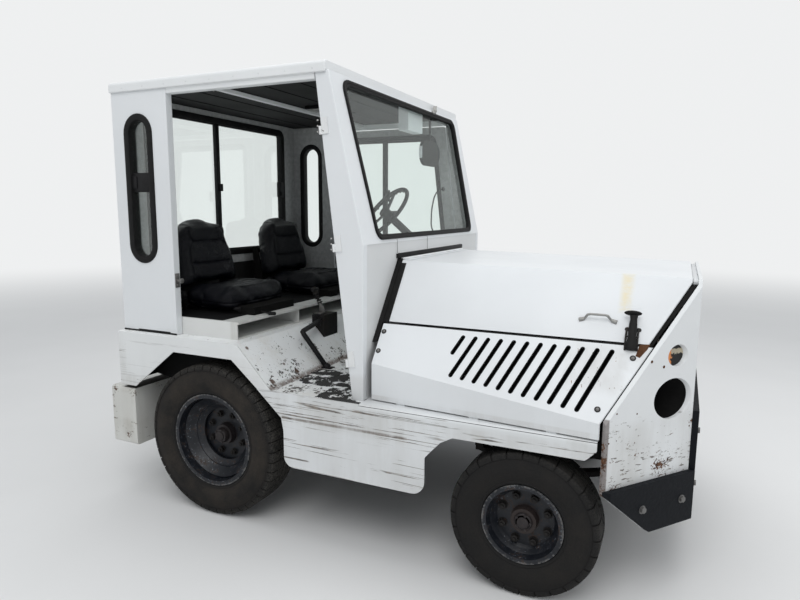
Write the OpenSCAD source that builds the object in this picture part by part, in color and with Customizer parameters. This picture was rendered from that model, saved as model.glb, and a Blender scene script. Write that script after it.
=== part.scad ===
// Airport baggage tug: long sloped hood, boxy cab without its right door.
// +X is forward, +Z up, the right side is -Y. The origin is on the ground
// under the middle of the vehicle.

/* [Overall] */
// Distance between the axles
wheelbase = 1584; // [1450:2:1750]
// Rear axle, measured from the middle of the length
rear_axle_x = -705; // [-800:5:-650]
// Width over the fenders and sills
body_w = 1700; // [1600:10:1800]
// Distance of the cab's side from the body's side
cab_inset = 45; // [35:1:80]
// Rear face of the counterweight
tail_x = -1370; // [-1450:5:-1340]
// Front face of the nose plate
nose_x = 1470; // [1440:5:1550]
// Height of the sills and of the cab floor
sill_z = 706; // [690:2:720]
// Height of the deck over the rear wheels
deck_z = 906; // [890:2:940]
// Height of the belt crease under the windscreen
belt_z = 1397; // [1380:1:1430]
// Height of the roof
roof_z = 2170; // [2120:10:2300]
// Thickness of the body plates
plate_t = 6; // [4:1:8]

/* [Wheels] */
// Radius of the rear tyres
rear_r = 390; // [380:5:400]
// Width of the rear tyres
rear_w = 212; // [190:2:216]
// Radius of the rear rim flange
rear_rim_r = 238; // [225:1:245]
// Radius of the front tyres
front_r = 305; // [295:5:305]
// Width of the front tyres
front_w = 175; // [160:1:180]
// Radius of the front rim flange
front_rim_r = 166; // [158:1:172]
// Radius of the wheel spindles
spindle_r = 30; // [24:1:34]
// Radial running clearance of a spindle in its hub
run_gap = 0.05; // [0.03:0.01:0.1]
// Distance of each kingpin from the middle
kingpin_y = 640; // [620:5:650]
// Radius of the kingpins
kingpin_r = 15; // [12:1:18]
// Length of the steering arms
arm_len = 130; // [110:5:150]
// Radius of the front wheel discs inside their dish
front_disc_r = 118; // [100:2:125]
// Radius of the rear wheel discs inside their dish
rear_disc_r = 150; // [130:2:170]
// Radius of the wheel hubs
hub_r = 56; // [48:1:62]
// Number of notches round each shoulder of the front tyres
notch_count = 28; // [20:2:32]

/* [Chassis] */
// Underside of the chassis rails
rail_z = 450; // [450:2:470]
// Depth of the chassis rails
rail_h = 140; // [110:5:150]
// Outer side of the chassis rails, from the middle
rail_y = 380; // [360:5:400]
// Width of one chassis rail
rail_w = 60; // [40:5:80]
// Length of the counterweight
weight_len = 170; // [140:5:200]
// Underside of the counterweight
weight_z = 285; // [270:5:320]
// Reach of the tow hitch behind the counterweight
hitch_reach = 125; // [110:5:150]
// Radius of the hitch pin's hole
hitch_hole_r = 17; // [12:1:22]

/* [Hood and nose] */
// Rear end of the hood
hood_x = 176; // [170:1:190]
// Half of the flat width of the hood's top
hood_top_y = 450; // [420:5:480]
// Height of the hood's top edge line
hood_z = 1300; // [1280:5:1330]
// Fall of the hood's top towards the nose
hood_fall = 22; // [0:2:40]
// Slope of the hood's sides
hood_slope = 53; // [50:0.5:58]
// Half width of the hood over its lower band at the rear
band_rear_y = 770; // [760:2:790]
// Lower edge of the hinged lid
lid_z = 1045; // [1030:5:1070]
// Thickness of the hood sheets
hood_t = 4; // [3:0.5:6]
// Thickness of the nose plates
nose_t = 14; // [8:1:18]
// Rear end of the corner plates
corner_x = 1178; // [1170:2:1200]
// Half width of the flat front plate
front_y = 480; // [440:5:520]
// Underside of the nose plates
nose_z = 310; // [300:5:350]
// Upper edge of the rubber pads on the corner plates
pad_z = 515; // [490:5:540]
// Thickness of the rubber pads
pad_t = 25; // [20:1:40]
// Radius of the headlamp holes
headlamp_r = 81; // [70:1:90]
// Radius of the indicator holes
indicator_r = 43; // [35:1:50]
// Seam round the fixed hood panels
seam = 6; // [4:1:10]
// Gap under the lid's lower edge
lid_seam = 10; // [8:1:14]
// Gap between the lid and the nose plates
lid_gap = 22; // [15:1:30]

/* [Louvres] */
// Number of louvre slots on each side
louvre_count = 12; // [8:1:13]
// Distance from slot to slot
louvre_pitch = 55; // [48:1:56]
// Width of a slot
louvre_w = 12; // [10:1:18]
// Front end of the row, at the slots' tops
louvre_x = 1169; // [1120:1:1175]
// Height of the slots' tops
louvre_z = 1010; // [990:2:1015]
// Lean of the slots, forward travel for each millimetre of rise
louvre_lean = 0.5; // [0.3:0.05:0.6]

/* [Cab] */
// Depth of the posts and wall sections
wall_t = 40; // [30:1:50]
// Thickness of the rear wall
rear_t = 30; // [25:1:40]
// Rear face of the cab
cab_x = -1293; // [-1310:1:-1280]
// Front edge of the rear posts
post_x = -923; // [-960:1:-900]
// Thickness of the roof
roof_t = 40; // [30:2:60]
// Overhang of the roof's edge beyond the posts
gutter = 12; // [6:1:20]
// Depth of the rails under the roof's sides
header_h = 35; // [25:1:50]
// Front of the cab at the belt
belt_x = 154; // [150:1:165]
// Lean of the windscreen, rearward travel for each millimetre of rise
screen_lean = 0.2225; // [0.18:0.0025:0.26]
// Half width of the windscreen at its foot
screen_foot_y = 650; // [600:5:680]
// Half width of the windscreen at its head
screen_head_y = 700; // [650:5:730]
// Thickness of the glass
glass_t = 6; // [4:1:8]
// Front of the sloping heel board at the floor
heel_x = -316; // [-340:2:-300]
// Rear of the heel board at the deck
heel_top_x = -508; // [-530:2:-490]
// Height of the seat box
seat_z = 995; // [970:5:1010]
// Front of the seat box
box_front_x = -570; // [-590:2:-550]
// Distance of the seats from the middle
seat_y = 385; // [360:5:400]

/* [Hidden] */
$fn = 48;
// A seat or a pane lies this far from what carries it
fit = 0.3;
half_w = body_w / 2;
cab_y = half_w - cab_inset;
inner_y = cab_y - wall_t;
front_axle_x = rear_axle_x + wheelbase;
rear_track_y = half_w - 2 - rear_w / 2;
front_track_y = half_w - 5 - front_w / 2;
roof_under = roof_z - roof_t;
weight_x = tail_x + weight_len;
rail_top = rail_z + rail_h;
// The hood's sides: outward travel for each millimetre of drop
side_run = 1 / tan(hood_slope);
// The corner plates run from the sill to the front plate
corner_len = norm([nose_x - corner_x, half_w - 2 - front_y]);
corner_a = atan2(half_w - 2 - front_y, nose_x - corner_x);
fire_x = belt_x - 4;
fire_t = 20;
// Front springs: half of the span between their hangers, and the hangers' depth
spring_half = 320;
hanger_h = 30;
// Lamp holes in the corner plates, from the middle and above the ground
headlamp_y = 576;
headlamp_z = 828;
indicator_y = 566;
indicator_z = 998;
// Steering wheel: centre, lean of its shaft from the vertical
wheel_c = [-320, seat_y, 1528];
column_tilt = 50;
shaft_r = 9;
// Front lower corner of the wheel arch, where the sill begins
arch_x = -395;
// Outer radius of the sill's bent upper edge
sill_bend = 18;
// Inner walls of the wheel housings
wall_y = rear_track_y - rear_w / 2 - 31;
// Windows: lower edge, and upper edges below the roof
window_z = belt_z - 132;
rear_top = roof_z - 85;
slot_top = roof_z - 255;
door_top = roof_z - 140;
screen_top = roof_z - 72;
// Seats: rear and front ends of the cushions
seat_rear = -1060;
seat_front = -600;
// Seats of the tyres on the rims, and the wheel discs across the wheels' middle planes
rear_seat_r = rear_rim_r - 16;
front_seat_r = front_rim_r - 13;
front_disc = 5;
rear_disc = -40;
// The hood's hinge runs over the lid's rear edge
hinge_r = 5;
hinge_z = top_z(hood_x) + hinge_r + 0.5;
hinge_half = hood_top_y - 20;
knuckle_count = 15;
knuckle_len = 2 * hinge_half / knuckle_count - 2 * fit;
hinge_leaf_t = 2;
// Heights of the door hinges
hinge_zs = [891, 1398, 1898];
door_gap = 8;
// Door hinges: barrel, its distance from the cab's side, half height and thickness of a leaf
barrel_r = 6.5;
barrel_off = barrel_r + 0.5;
leaf_h = 35;
leaf_t = 6;
// Lean of the pillars' rear edge and of the door hinges' axis
pillar_lean = 0.1215;

function unit(v) = v / norm(v);
// Half width of the hood's sloped side at a height
function slope_y(z) = hood_top_y + (hood_z - z) * side_run;
// Height of the hood's top at a place along it
function top_z(x) = hood_z + 0.4 * hood_fall - hood_fall * (x - hood_x) / (nose_x - hood_x);
// Front of the cab's leaning face at a height
function screen_x(z) = belt_x - (z - belt_z) * screen_lean;
// Rear edge of the windscreen pillars, a straight leaning line
function pillar_x(z) = 96 - (z - sill_z) * pillar_lean;
// Height of the sloping heel board at a place along it
function heel_z(x) = sill_z + (deck_z - sill_z) * (x - heel_x) / (heel_top_x - heel_x);
// Half width of the hood's lower band at a place along it
function band_y(x) = band_rear_y + (half_w - 2 - band_rear_y) * (x - hood_x) / (corner_x - hood_x);
// Right corner plate's line, moved inwards by d
function corner_p(d) = [corner_x - d * sin(corner_a), -half_w + 2 + d * cos(corner_a)];
function corner_y(x, d) = corner_p(d)[1] + (x - corner_p(d)[0]) * tan(corner_a);

// Arc that rounds the corner p between its neighbours a and b
function corner_arc(p, a, b, r) =
    let (u = unit(a - p), v = unit(b - p), half = acos(u * v) / 2)
    let (c = p + unit(u + v) * r / sin(half), s = p + u * r / tan(half), e = p + v * r / tan(half))
    let (a0 = atan2(s[1] - c[1], s[0] - c[0]), a1 = atan2(e[1] - c[1], e[0] - c[0]))
    let (turn = (a1 - a0 + 540) % 360 - 180, steps = 6)
    [for (k = [0:steps]) c + r * [cos(a0 + turn * k / steps), sin(a0 + turn * k / steps)]];
// Outline with rounded corners; each point is [x, z, radius]
function rounded(pts) = let (n = len(pts)) [for (i = [0:n - 1])
    let (p = pts[i], a = pts[(i + n - 1) % n], b = pts[(i + 1) % n])
    each (p[2] > 0 ? corner_arc([p[0], p[1]], [a[0], a[1]], [b[0], b[1]], p[2]) : [[p[0], p[1]]])];

// Side-view outline, extruded from y0 to y1
module across(y0, y1) {
    translate([0, y1, 0]) rotate([90, 0, 0]) linear_extrude(y1 - y0) children();
}
// Front-view outline (y, z), extruded from x0 to x1
module along(x0, x1) {
    translate([x0, 0, 0]) rotate([90, 0, 90]) linear_extrude(x1 - x0) children();
}
// Box from one corner to the opposite one
module box(a, b) {
    translate(a) cube(b - a);
}
module both_sides() {
    children();
    mirror([0, 1, 0]) children();
}
// Round bar from a to b
module bar(a, b, r) {
    d = b - a;
    translate(a) rotate([0, acos(d[2] / norm(d)), atan2(d[1], d[0])]) cylinder(h = norm(d), r = r);
}
// Outline of a slot with round ends, its end centres at p and q
function slot(p, q, w, steps = 16) = let (a = atan2(q[1] - p[1], q[0] - p[0]) + 90)
    [for (end = [[p, a], [q, a + 180]], k = [0:steps])
        let (turn = end[1] + 180 * k / steps) end[0] + w / 2 * [cos(turn), sin(turn)]];

// Chassis ladder: rails, cross members and the front spring hangers
module frame() {
    // Rear faces and length of the cross members, and their depth below the rails' faces
    cross_xs = [-1120, -330, 180, 1330];
    cross_len = 60;
    cross_in = 20;
    color("dimgray") {
        both_sides() {
            box([weight_x, -rail_y, rail_z], [nose_x - nose_t, rail_w - rail_y, rail_top]);
            for (x = [front_axle_x - spring_half, front_axle_x + spring_half])
                box([x - 20, -rail_y, rail_z - hanger_h], [x + 20, rail_w - rail_y, rail_z]);
        }
        for (x = cross_xs)
            box([x, rail_w - rail_y, rail_z + cross_in], [x + cross_len, rail_y - rail_w, rail_top - cross_in]);
    }
}
// Outriggers that carry the sills, and stands under the floor and the deck
module bearers() {
    arm_xs = [-240, 390];
    floor_xs = [-290, 60];
    deck_xs = [-1180, -620];
    len = 50;
    arm_h = 60;
    color("dimgray") both_sides() {
        for (x = arm_xs)
            box([x, plate_t - half_w, rail_top - arm_h], [x + len, -rail_y, rail_top]);
        for (x = floor_xs)
            box([x, -rail_y, rail_top], [x + len, rail_w - rail_y, sill_z - plate_t]);
        for (x = deck_xs)
            box([x, -rail_y, rail_top], [x + len, rail_w - rail_y, deck_z - plate_t]);
    }
}

module counterweight() {
    y = half_w - 4;
    top = 600;
    edge_r = 15;
    color("whitesmoke") along(tail_x, weight_x)
        polygon(rounded([[-y, weight_z, edge_r], [y, weight_z, edge_r], [y, top, edge_r], [-y, top, edge_r]]));
}

module hitch() {
    jaw_r = 55;
    jaw_t = 25;
    jaw_zs = [395, 470];
    pin_x = tail_x - hitch_reach + jaw_r;
    color("dimgray") difference() {
        union() {
            box([tail_x - 20, -120, 340], [tail_x, 120, 540]);
            for (z = jaw_zs)
                translate([0, 0, z]) linear_extrude(jaw_t) {
                    translate([pin_x, 0]) circle(r = jaw_r);
                    translate([pin_x, -jaw_r]) square([tail_x - pin_x, 2 * jaw_r]);
                }
        }
        translate([pin_x, 0, 380]) cylinder(h = 140, r = hitch_hole_r);
    }
}

// Bent strip in plan round the nose, between two insets from its outer faces
module nose_ring(outer, inner, z0, z1) {
    function line(d) = [corner_p(d), [nose_x - d, corner_y(nose_x - d, d)]];
    function other(pts) = [for (p = pts) [p[0], -p[1]]];
    function turned(pts) = [for (i = [len(pts) - 1:-1:0]) pts[i]];
    translate([0, 0, z0]) linear_extrude(z1 - z0) polygon(concat(line(outer), turned(other(line(outer))),
        other(line(inner)), turned(line(inner))));
}
// Cuts the low rear ends of the corner plates and pads off at a slant
module corner_cuts() {
    p = corner_p(0);
    rear_z = 500;
    both_sides() translate([p[0], p[1], 0]) rotate([0, 0, corner_a]) across(-100, 100)
        polygon([[-100, rear_z], [0, rear_z], [corner_len / 2, nose_z], [corner_len / 2, nose_z - 50],
            [-100, nose_z - 50]]);
}
module nose() {
    slot_zs = [820:60:1180];
    slot_half = 330;
    color("whitesmoke") difference() {
        intersection() {
            nose_ring(0, nose_t, nose_z, 1400);
            along(1000, 1600) polygon([[-slope_y(0), 0], [-slope_y(top_z(nose_x)), top_z(nose_x)],
                [slope_y(top_z(nose_x)), top_z(nose_x)], [slope_y(0), 0]]);
        }
        corner_cuts();
        both_sides() {
            lamp_axis(headlamp_y, headlamp_z) cylinder(h = 400, r = headlamp_r);
            lamp_axis(indicator_y, indicator_z) cylinder(h = 400, r = indicator_r);
        }
        // Grille slots in the front plate
        for (z = slot_zs)
            along(nose_x - 2 * nose_t, nose_x + 1) polygon(slot([-slot_half, z], [slot_half, z], 26));
    }
}
// Forward-pointing axis of a right-hand lamp
module lamp_axis(y, z) {
    translate([corner_x, -y, z]) rotate([0, 90, 0]) children();
}

module bumper_pads() {
    split = 4;
    front_top = 760;
    color("#202020") intersection() {
        difference() {
            nose_ring(-pad_t, 0, nose_z, front_top);
            corner_cuts();
        }
        union() {
            both_sides() box([1000, -half_w, nose_z], [1600, -front_y - split, pad_z]);
            box([1000, -front_y + split, nose_z], [1600, front_y - split, front_top]);
        }
    }
}

// Amber lamps against the back of the corner plates, and on the rear panel
module lamps() {
    color("orange") {
        intersection() {
            both_sides() translate([150, 0, 0]) lamp_axis(indicator_y, indicator_z)
                cylinder(h = 200, r = indicator_r + 9);
            hood_plan(nose_t, 900, 1100);
        }
        both_sides() translate([cab_x - 12, -700, 780]) rotate([0, 90, 0]) cylinder(h = 12, r = 45);
    }
}
// Empty headlamp shells behind the corner plates
module lamp_shells() {
    color("#202020") intersection() {
        both_sides() translate([130, 0, 0]) difference() {
            lamp_axis(headlamp_y, headlamp_z) cylinder(h = 300, r = headlamp_r + 10);
            translate([4, 0, 0]) lamp_axis(headlamp_y, headlamp_z) cylinder(h = 300, r = headlamp_r + 4);
        }
        hood_plan(nose_t, 700, 950);
    }
}

// Outer form of the hood, every face moved inwards by d
module hood_body(d) {
    run = d / sin(hood_slope);
    low = 500;
    high = 1450;
    intersection() {
        along(0, 1600) polygon([[run - slope_y(low), low], [run - slope_y(high), high],
            [slope_y(high) - run, high], [slope_y(low) - run, low]]);
        across(-1000, 1000) polygon([[0, low], [0, top_z(0) - d], [1600, top_z(1600) - d], [1600, low]]);
        translate([0, 0, low]) linear_extrude(high - low)
            polygon([[0, d - band_y(0)], [1600, d - band_y(1600)], [1600, band_y(1600) - d], [0, band_y(0) - d]]);
    }
}
module hood_shell() {
    difference() {
        hood_body(0);
        hood_body(hood_t);
    }
}
// Plan area behind the nose plates, at an inset from them
module hood_plan(d, z0, z1) {
    x1 = nose_x - d;
    x0 = corner_p(d)[0] - (900 + corner_p(d)[1]) / tan(corner_a);
    translate([0, 0, z0]) linear_extrude(z1 - z0)
        polygon([[hood_x, -900], [x0, -900], [x1, corner_y(x1, d)], [x1, -corner_y(x1, d)], [x0, 900],
            [hood_x, 900]]);
}
module louvres() {
    // Drop of the front and of the rear slot, and how much each one is shorter than the last
    front_drop = 201;
    rear_drop = 61;
    step = 5.9;
    for (i = [0:louvre_count - 1]) {
        x = louvre_x - i * louvre_pitch;
        drop = i == louvre_count - 1 ? rear_drop : front_drop - step * i;
        v = (louvre_z - hood_z) / sin(hood_slope);
        translate([0, -hood_top_y, hood_z]) rotate([hood_slope, 0, 0]) translate([0, 0, -20])
            linear_extrude(40)
                polygon(slot([x, v], [x - louvre_lean * drop, v - drop / sin(hood_slope)], louvre_w, 6));
    }
}
module side_panels() {
    color("white") difference() {
        intersection() {
            hood_shell();
            hood_plan(nose_t + seam, sill_z + seam, lid_z - lid_seam);
        }
        both_sides() louvres();
    }
}
module hood_lid() {
    color("white") {
        intersection() {
            hood_shell();
            hood_plan(nose_t + lid_gap, lid_z, 1500);
        }
        // Leaf of the piano hinge, with its share of the knuckles
        leaf_z = hinge_z - hinge_r;
        box([hood_x + 6, -hinge_half, leaf_z], [hood_x + 36, hinge_half, leaf_z + hinge_leaf_t]);
        hinge_knuckles(1) box([0, 0, -hinge_r], [8, knuckle_len, hinge_leaf_t - hinge_r]);
    }
}
// Every second knuckle of the hood's hinge, starting with the given one; its
// child is the tab that joins each to its leaf
module hinge_knuckles(first) {
    pitch = knuckle_len + 2 * fit;
    for (i = [first:2:knuckle_count - 1]) translate([hood_x - 1, -hinge_half + i * pitch + fit, hinge_z]) {
        rotate([-90, 0, 0]) cylinder(h = knuckle_len, r = hinge_r, $fn = 24);
        children();
    }
}
// Grab handles and draw latches, in the plane of the lid's sides
module hood_fittings() {
    handle_xs = [1036, 1164];
    handle_v = -222;
    handle_h = 28;
    handle_r = 5.5;
    color("#303030") both_sides() translate([0, -hood_top_y, hood_z]) rotate([hood_slope, 0, 0]) {
        for (x = handle_xs) translate([x, handle_v, 0]) cylinder(h = handle_h, r = handle_r);
        translate([handle_xs[0], handle_v, handle_h]) rotate([0, 90, 0])
            cylinder(h = handle_xs[1] - handle_xs[0], r = handle_r);
        // Latch: base plate, rubber strap over the lid's lower edge, cross handle
        box([1216, -300, 0], [1256, -215, 6]);
        box([1222, -352, 6], [1250, -215, 20]);
        box([1218, -232, 20], [1254, -205, 26]);
        box([1206, -214, 26], [1266, -198, 36]);
    }
}

// Side sill with its skirt; from the cab forwards its upper edge is bent round
// into a flange, with tabs behind the hood's side panels
module sills() {
    front = corner_x - 26;
    edge_z = 626;
    skirt_z = 349;
    skirt_xs = [-246, 466];
    bend = [sill_bend - half_w, sill_z - sill_bend];
    tab_xs = [300, 640, 960];
    tab_len = 40;
    tab_h = 25;
    color("whitesmoke") both_sides() {
        difference() {
            across(-half_w, plate_t - half_w) polygon(rounded([[arch_x, sill_z, 0], [front, sill_z, 0],
                [front, 668, 0], [front - 40, edge_z, 20], [587, edge_z, 20], [535, 597, 20],
                [skirt_xs[1], 520, 20], [skirt_xs[1], skirt_z, 60], [skirt_xs[0], skirt_z, 50],
                [skirt_xs[0], 520, 0], [-258, 583, 0]]));
            box([fire_x, -half_w - 1, bend[1]], [front + 1, plate_t - half_w + 1, sill_z + 1]);
        }
        along(fire_x, front) polygon(concat([for (a = [90:15:180]) bend + sill_bend * [cos(a), sin(a)]],
            [for (a = [180:-15:90]) bend + (sill_bend - plate_t) * [cos(a), sin(a)]]));
        translate([0, 0, sill_z - plate_t]) linear_extrude(plate_t)
            polygon([[fire_x, bend[0]], [front, bend[0]], [front, -780], [hood_x, -700], [fire_x, -700]]);
        translate([0, 0, sill_z]) linear_extrude(tab_h) for (x0 = tab_xs) let (x1 = x0 + tab_len)
            polygon([[x0, hood_t - band_y(x0)], [x1, hood_t - band_y(x1)], [x1, hood_t + plate_t - band_y(x1)],
                [x0, hood_t + plate_t - band_y(x0)]]);
    }
}

module fenders() {
    low = 617;
    arch_z = 829;
    under = deck_z - plate_t;
    color("whitesmoke") {
        both_sides() {
            across(-half_w, plate_t - half_w) polygon([[cab_x, deck_z], [heel_top_x, deck_z], [heel_x, sill_z],
                [arch_x, sill_z], [-542, arch_z], [-911, arch_z], [-1184, low], [cab_x, low]]);
            // Inner wall of the wheel housing
            across(-wall_y, -wall_y + plate_t) polygon([[cab_x + plate_t, under], [heel_top_x - 3, under],
                [heel_x - 8, sill_z - plate_t], [-400, 600], [-1180, 600], [cab_x + plate_t, low]]);
        }
        // Rear panel
        box([cab_x, plate_t - half_w, low], [cab_x + plate_t, half_w - plate_t, under]);
    }
}

module deck() {
    y = half_w - plate_t;
    color("gainsboro") across(-y, y) polygon([[cab_x, deck_z - plate_t], [cab_x, deck_z],
        [heel_top_x, deck_z], [heel_x, sill_z], [fire_x, sill_z], [fire_x, sill_z - plate_t],
        [heel_x - 3, sill_z - plate_t], [heel_top_x - 3, deck_z - plate_t]]);
}

// Box under the seats, its front open as two bays below the lip
module seat_box() {
    y = inner_y - 2;
    divider_y = -230;
    bay_len = 420;
    color("whitesmoke") difference() {
        union() {
            box([cab_x + rear_t, -y, deck_z], [box_front_x, y, seat_z]);
            box([box_front_x, -y, seat_z - 12], [box_front_x + 8, y, seat_z]);
        }
        for (bay = [[-y + plate_t, divider_y - plate_t / 2], [divider_y + plate_t / 2, y - plate_t]])
            box([box_front_x - bay_len, bay[0], deck_z + plate_t], [box_front_x + 1, bay[1], seat_z - plate_t]);
    }
}

module firewall() {
    color("whitesmoke") box([fire_x - fire_t, -inner_y, sill_z], [fire_x, inner_y, belt_z]);
}

// Rubber seal that the hood shuts against
module hood_seal() {
    color("#202020") difference() {
        intersection() {
            difference() {
                hood_body(-6);
                hood_body(22);
            }
            box([fire_x, -900, 960], [hood_x - 5, 900, 1500]);
        }
        box([hood_x - hinge_r - 2, -hinge_half - 6, hinge_z - hinge_r - 1], [hood_x, hinge_half + 6, 1500]);
    }
}

module cab_rear() {
    color("whitesmoke") difference() {
        box([cab_x, -inner_y, deck_z], [cab_x + rear_t, inner_y, roof_under]);
        along(cab_x - 1, cab_x + rear_t + 1) polygon(rear_window(0));
    }
}
function rear_window(d) = let (y = cab_y - 185 - d, z0 = window_z + d, z1 = rear_top - d)
    rounded([[-y, z0, 45], [y, z0, 45], [y, z1, 45], [-y, z1, 45]]);

// Stadium outline of the narrow side windows
function slot_window(d) = slot([-1118, window_z + 100], [-1118, slot_top], 184 - 2 * d);
module cab_posts() {
    color("whitesmoke") both_sides() difference() {
        box([cab_x, -cab_y, deck_z], [post_x, -inner_y, roof_under]);
        across(-cab_y - 1, 1 - inner_y) polygon(slot_window(0));
    }
}

// Leaning prism through the windscreen opening, its outline moved inwards by d
module screen_prism(d, depth0, depth1) {
    z0 = belt_z + 27;
    z1 = screen_top;
    rise = norm([z1 - z0, (z1 - z0) * screen_lean]);
    translate([screen_x(z0), 0, z0]) rotate([0, -atan(screen_lean), 0]) rotate([90, 0, 90])
        translate([0, 0, -depth1]) linear_extrude(depth1 - depth0)
        polygon(rounded([[d - screen_foot_y, d, 40], [screen_foot_y - d, d, 40],
            [screen_head_y - d, rise - d, 40], [d - screen_head_y, rise - d, 40]]));
}
module cab_front() {
    color("whitesmoke") difference() {
        union() {
            both_sides() across(-cab_y, -inner_y) polygon([[pillar_x(roof_under), roof_under],
                [screen_x(roof_under), roof_under], [belt_x, belt_z], [fire_x, sill_z], [pillar_x(sill_z), sill_z]]);
            across(-cab_y, cab_y) polygon([[screen_x(roof_under) - 30, roof_under],
                [screen_x(roof_under), roof_under], [belt_x, belt_z], [belt_x - 30, belt_z]]);
        }
        screen_prism(0, -10, 60);
    }
}
module windscreen() {
    color("lightblue", 0.4) screen_prism(fit, 10, 10 + glass_t);
}

// Roof skin with drip edges, side rails and a bow across the middle
module roof() {
    edge = cab_y + gutter;
    color("white") {
        along(cab_x, screen_x(roof_z) - 2) polygon(rounded([[-edge, roof_under - 10, 0],
            [-cab_y, roof_under - 10, 0], [-cab_y, roof_under, 0], [cab_y, roof_under, 0],
            [cab_y, roof_under - 10, 0], [edge, roof_under - 10, 0], [edge, roof_z, 18], [-edge, roof_z, 18]]));
        both_sides() box([post_x, -cab_y, roof_under - header_h], [pillar_x(roof_under) - 1, -inner_y, roof_under]);
        box([-700, -inner_y, roof_under - 22], [-675, inner_y, roof_under]);
    }
}

module cab_glass() {
    color("lightblue", 0.4) {
        along(cab_x + 12, cab_x + 12 + glass_t) polygon(rear_window(fit));
        both_sides() across(-cab_y + 15, -cab_y + 15 + glass_t) polygon(slot_window(fit));
    }
}

// Underside of the cushions, rising to the rear
function cushion_z(x) = 1045 - (x - seat_rear) * 10 / (seat_front - seat_rear);
module seat_cushions() {
    color("#252525") for (y = [-seat_y, seat_y]) across(y - 230, y + 230)
        polygon(rounded([[seat_rear, 1045, 20], [seat_front, 1035, 25], [seat_front + 10, 1100, 35],
            [seat_rear, 1120, 20]]));
}
module seat_backs() {
    color("#252525") for (y = [-seat_y, seat_y]) across(y - 210, y + 210)
        polygon(rounded([[-1072, 1130, 25], [-1150, 1130, 20], [-1230, 1480, 30], [-1160, 1495, 30]]));
}
// Seat pans on their slides, with the brackets that carry the backs
module seat_slides() {
    color("#303030") for (y = [-seat_y, seat_y]) {
        across(y - 180, y + 180) polygon([[seat_rear + 10, seat_z], [seat_front - 20, seat_z],
            [seat_front - 20, cushion_z(seat_front - 20) - fit], [seat_rear + 10, cushion_z(seat_rear + 10) - fit]]);
        for (side = [-1, 1]) across(y + side * 214 - 4 + fit, y + side * 214 + 4 - fit)
            polygon([[-1050, seat_z], [-1180, seat_z], [-1200, 1300], [-1160, 1300], [-1120, 1080],
                [-1070, 1030], [-1050, 1030]]);
        box([-1090, y - 215, seat_z], [-1070, y + 215, seat_z + 20]);
    }
}

module dashboard() {
    back = fire_x - fire_t;
    color("#303030") across(-inner_y, inner_y) polygon(rounded([[back, belt_z - 8, 0], [back - 105, belt_z - 8, 14],
        [back - 125, belt_z - 40, 14], [back - 95, 1285, 12], [back, 1265, 0]]));
}

// Point on the steering column, s below the wheel's centre
function column_p(s) = wheel_c + s * [sin(column_tilt), 0, -cos(column_tilt)];
module steering_column() {
    color("#303030") difference() {
        union() {
            bar(column_p(60), column_p(620), 24);
            bar(column_p(5), column_p(70), shaft_r);
        }
        box([fire_x - fire_t, 0, 900], [fire_x + 400, 800, 1400]);
    }
}
module steering_wheel() {
    ring_r = 185;
    grip_r = 13;
    color("#202020") translate(wheel_c) rotate([0, -column_tilt, 0]) {
        rotate_extrude($fn = 96) polygon([for (k = [0:15]) [ring_r, 0] + grip_r * [cos(22.5 * k), sin(22.5 * k)]]);
        for (a = [90, 210, 330]) rotate([0, 0, a]) translate([20, -12, -6]) cube([155, 24, 8]);
        difference() {
            translate([0, 0, -55]) cylinder(h = 65, r = 30);
            translate([0, 0, -56]) cylinder(h = 60, r = shaft_r + run_gap);
        }
    }
}

module controls() {
    foot = [-290, -371, sill_z - 15];
    bend = [-405, -445, 905];
    end = [-460, -180, 918];
    color("#202020") {
        // Pedals on the firewall
        for (y = [seat_y - 130, seat_y, seat_y + 130]) {
            box([fire_x - fire_t - 160, y - 8, 860], [fire_x - fire_t, y + 8, 880]);
            box([fire_x - fire_t - 172, y - 35, 830], [fire_x - fire_t - 160, y + 35, 910]);
        }
        // Brake lever on its bracket over the heel board
        across(-190, -40) polygon([[heel_top_x, deck_z], [-430, heel_z(-430)], [-430, 950], [heel_top_x, 950]]);
        bar([-470, -110, 940], [-525, -130, 1075], 8, $fn = 12);
        bar([-518, -128, 1060], [-534, -134, 1100], 15, $fn = 12);
        // Bent tube from the floor to the bracket
        difference() {
            bar(foot, bend + 5 * unit(bend - foot), 10, $fn = 12);
            box([-330, -420, sill_z - 60], [-250, -330, sill_z]);
        }
        bar(bend - 5 * unit(end - bend), end, 10, $fn = 12);
    }
}

module engine() {
    color("#404040") {
        box([340, -250, rail_z + 30], [1080, 250, 1140]);
        // Feet on the chassis rails
        both_sides() for (x = [420, 940])
            box([x, rail_w - rail_y, rail_z + 50], [x + 80, -250, rail_z + 90]);
        // Radiator core and its pipes
        box([1150, -340, rail_top], [1210, 340, 1180]);
        for (z = [700, 1060]) box([1080, 120, z], [1150, 180, z + 50]);
    }
}

module front_axle() {
    // Half width, web, depth and flange thickness of the beam, and the eyes' radius
    w = 35;
    web = 12;
    z0 = front_r - 30;
    z1 = front_r + 30;
    t = 14;
    eye_r = 28;
    color("#303030") {
        across(-kingpin_y + 45, kingpin_y - 45) translate([front_axle_x, 0]) polygon([[-w, z0], [w, z0],
            [w, z0 + t], [web, z0 + t], [web, z1 - t], [w, z1 - t], [w, z1], [-w, z1], [-w, z1 - t],
            [-web, z1 - t], [-web, z0 + t], [-w, z0 + t]]);
        both_sides() difference() {
            union() {
                box([front_axle_x - eye_r, -kingpin_y, z0], [front_axle_x + eye_r, 46 - kingpin_y, z1]);
                translate([front_axle_x, -kingpin_y, z0]) cylinder(h = z1 - z0, r = eye_r);
            }
            translate([front_axle_x, -kingpin_y, z0 - 5]) cylinder(h = z1 - z0 + 10, r = kingpin_r + run_gap);
        }
    }
}

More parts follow.
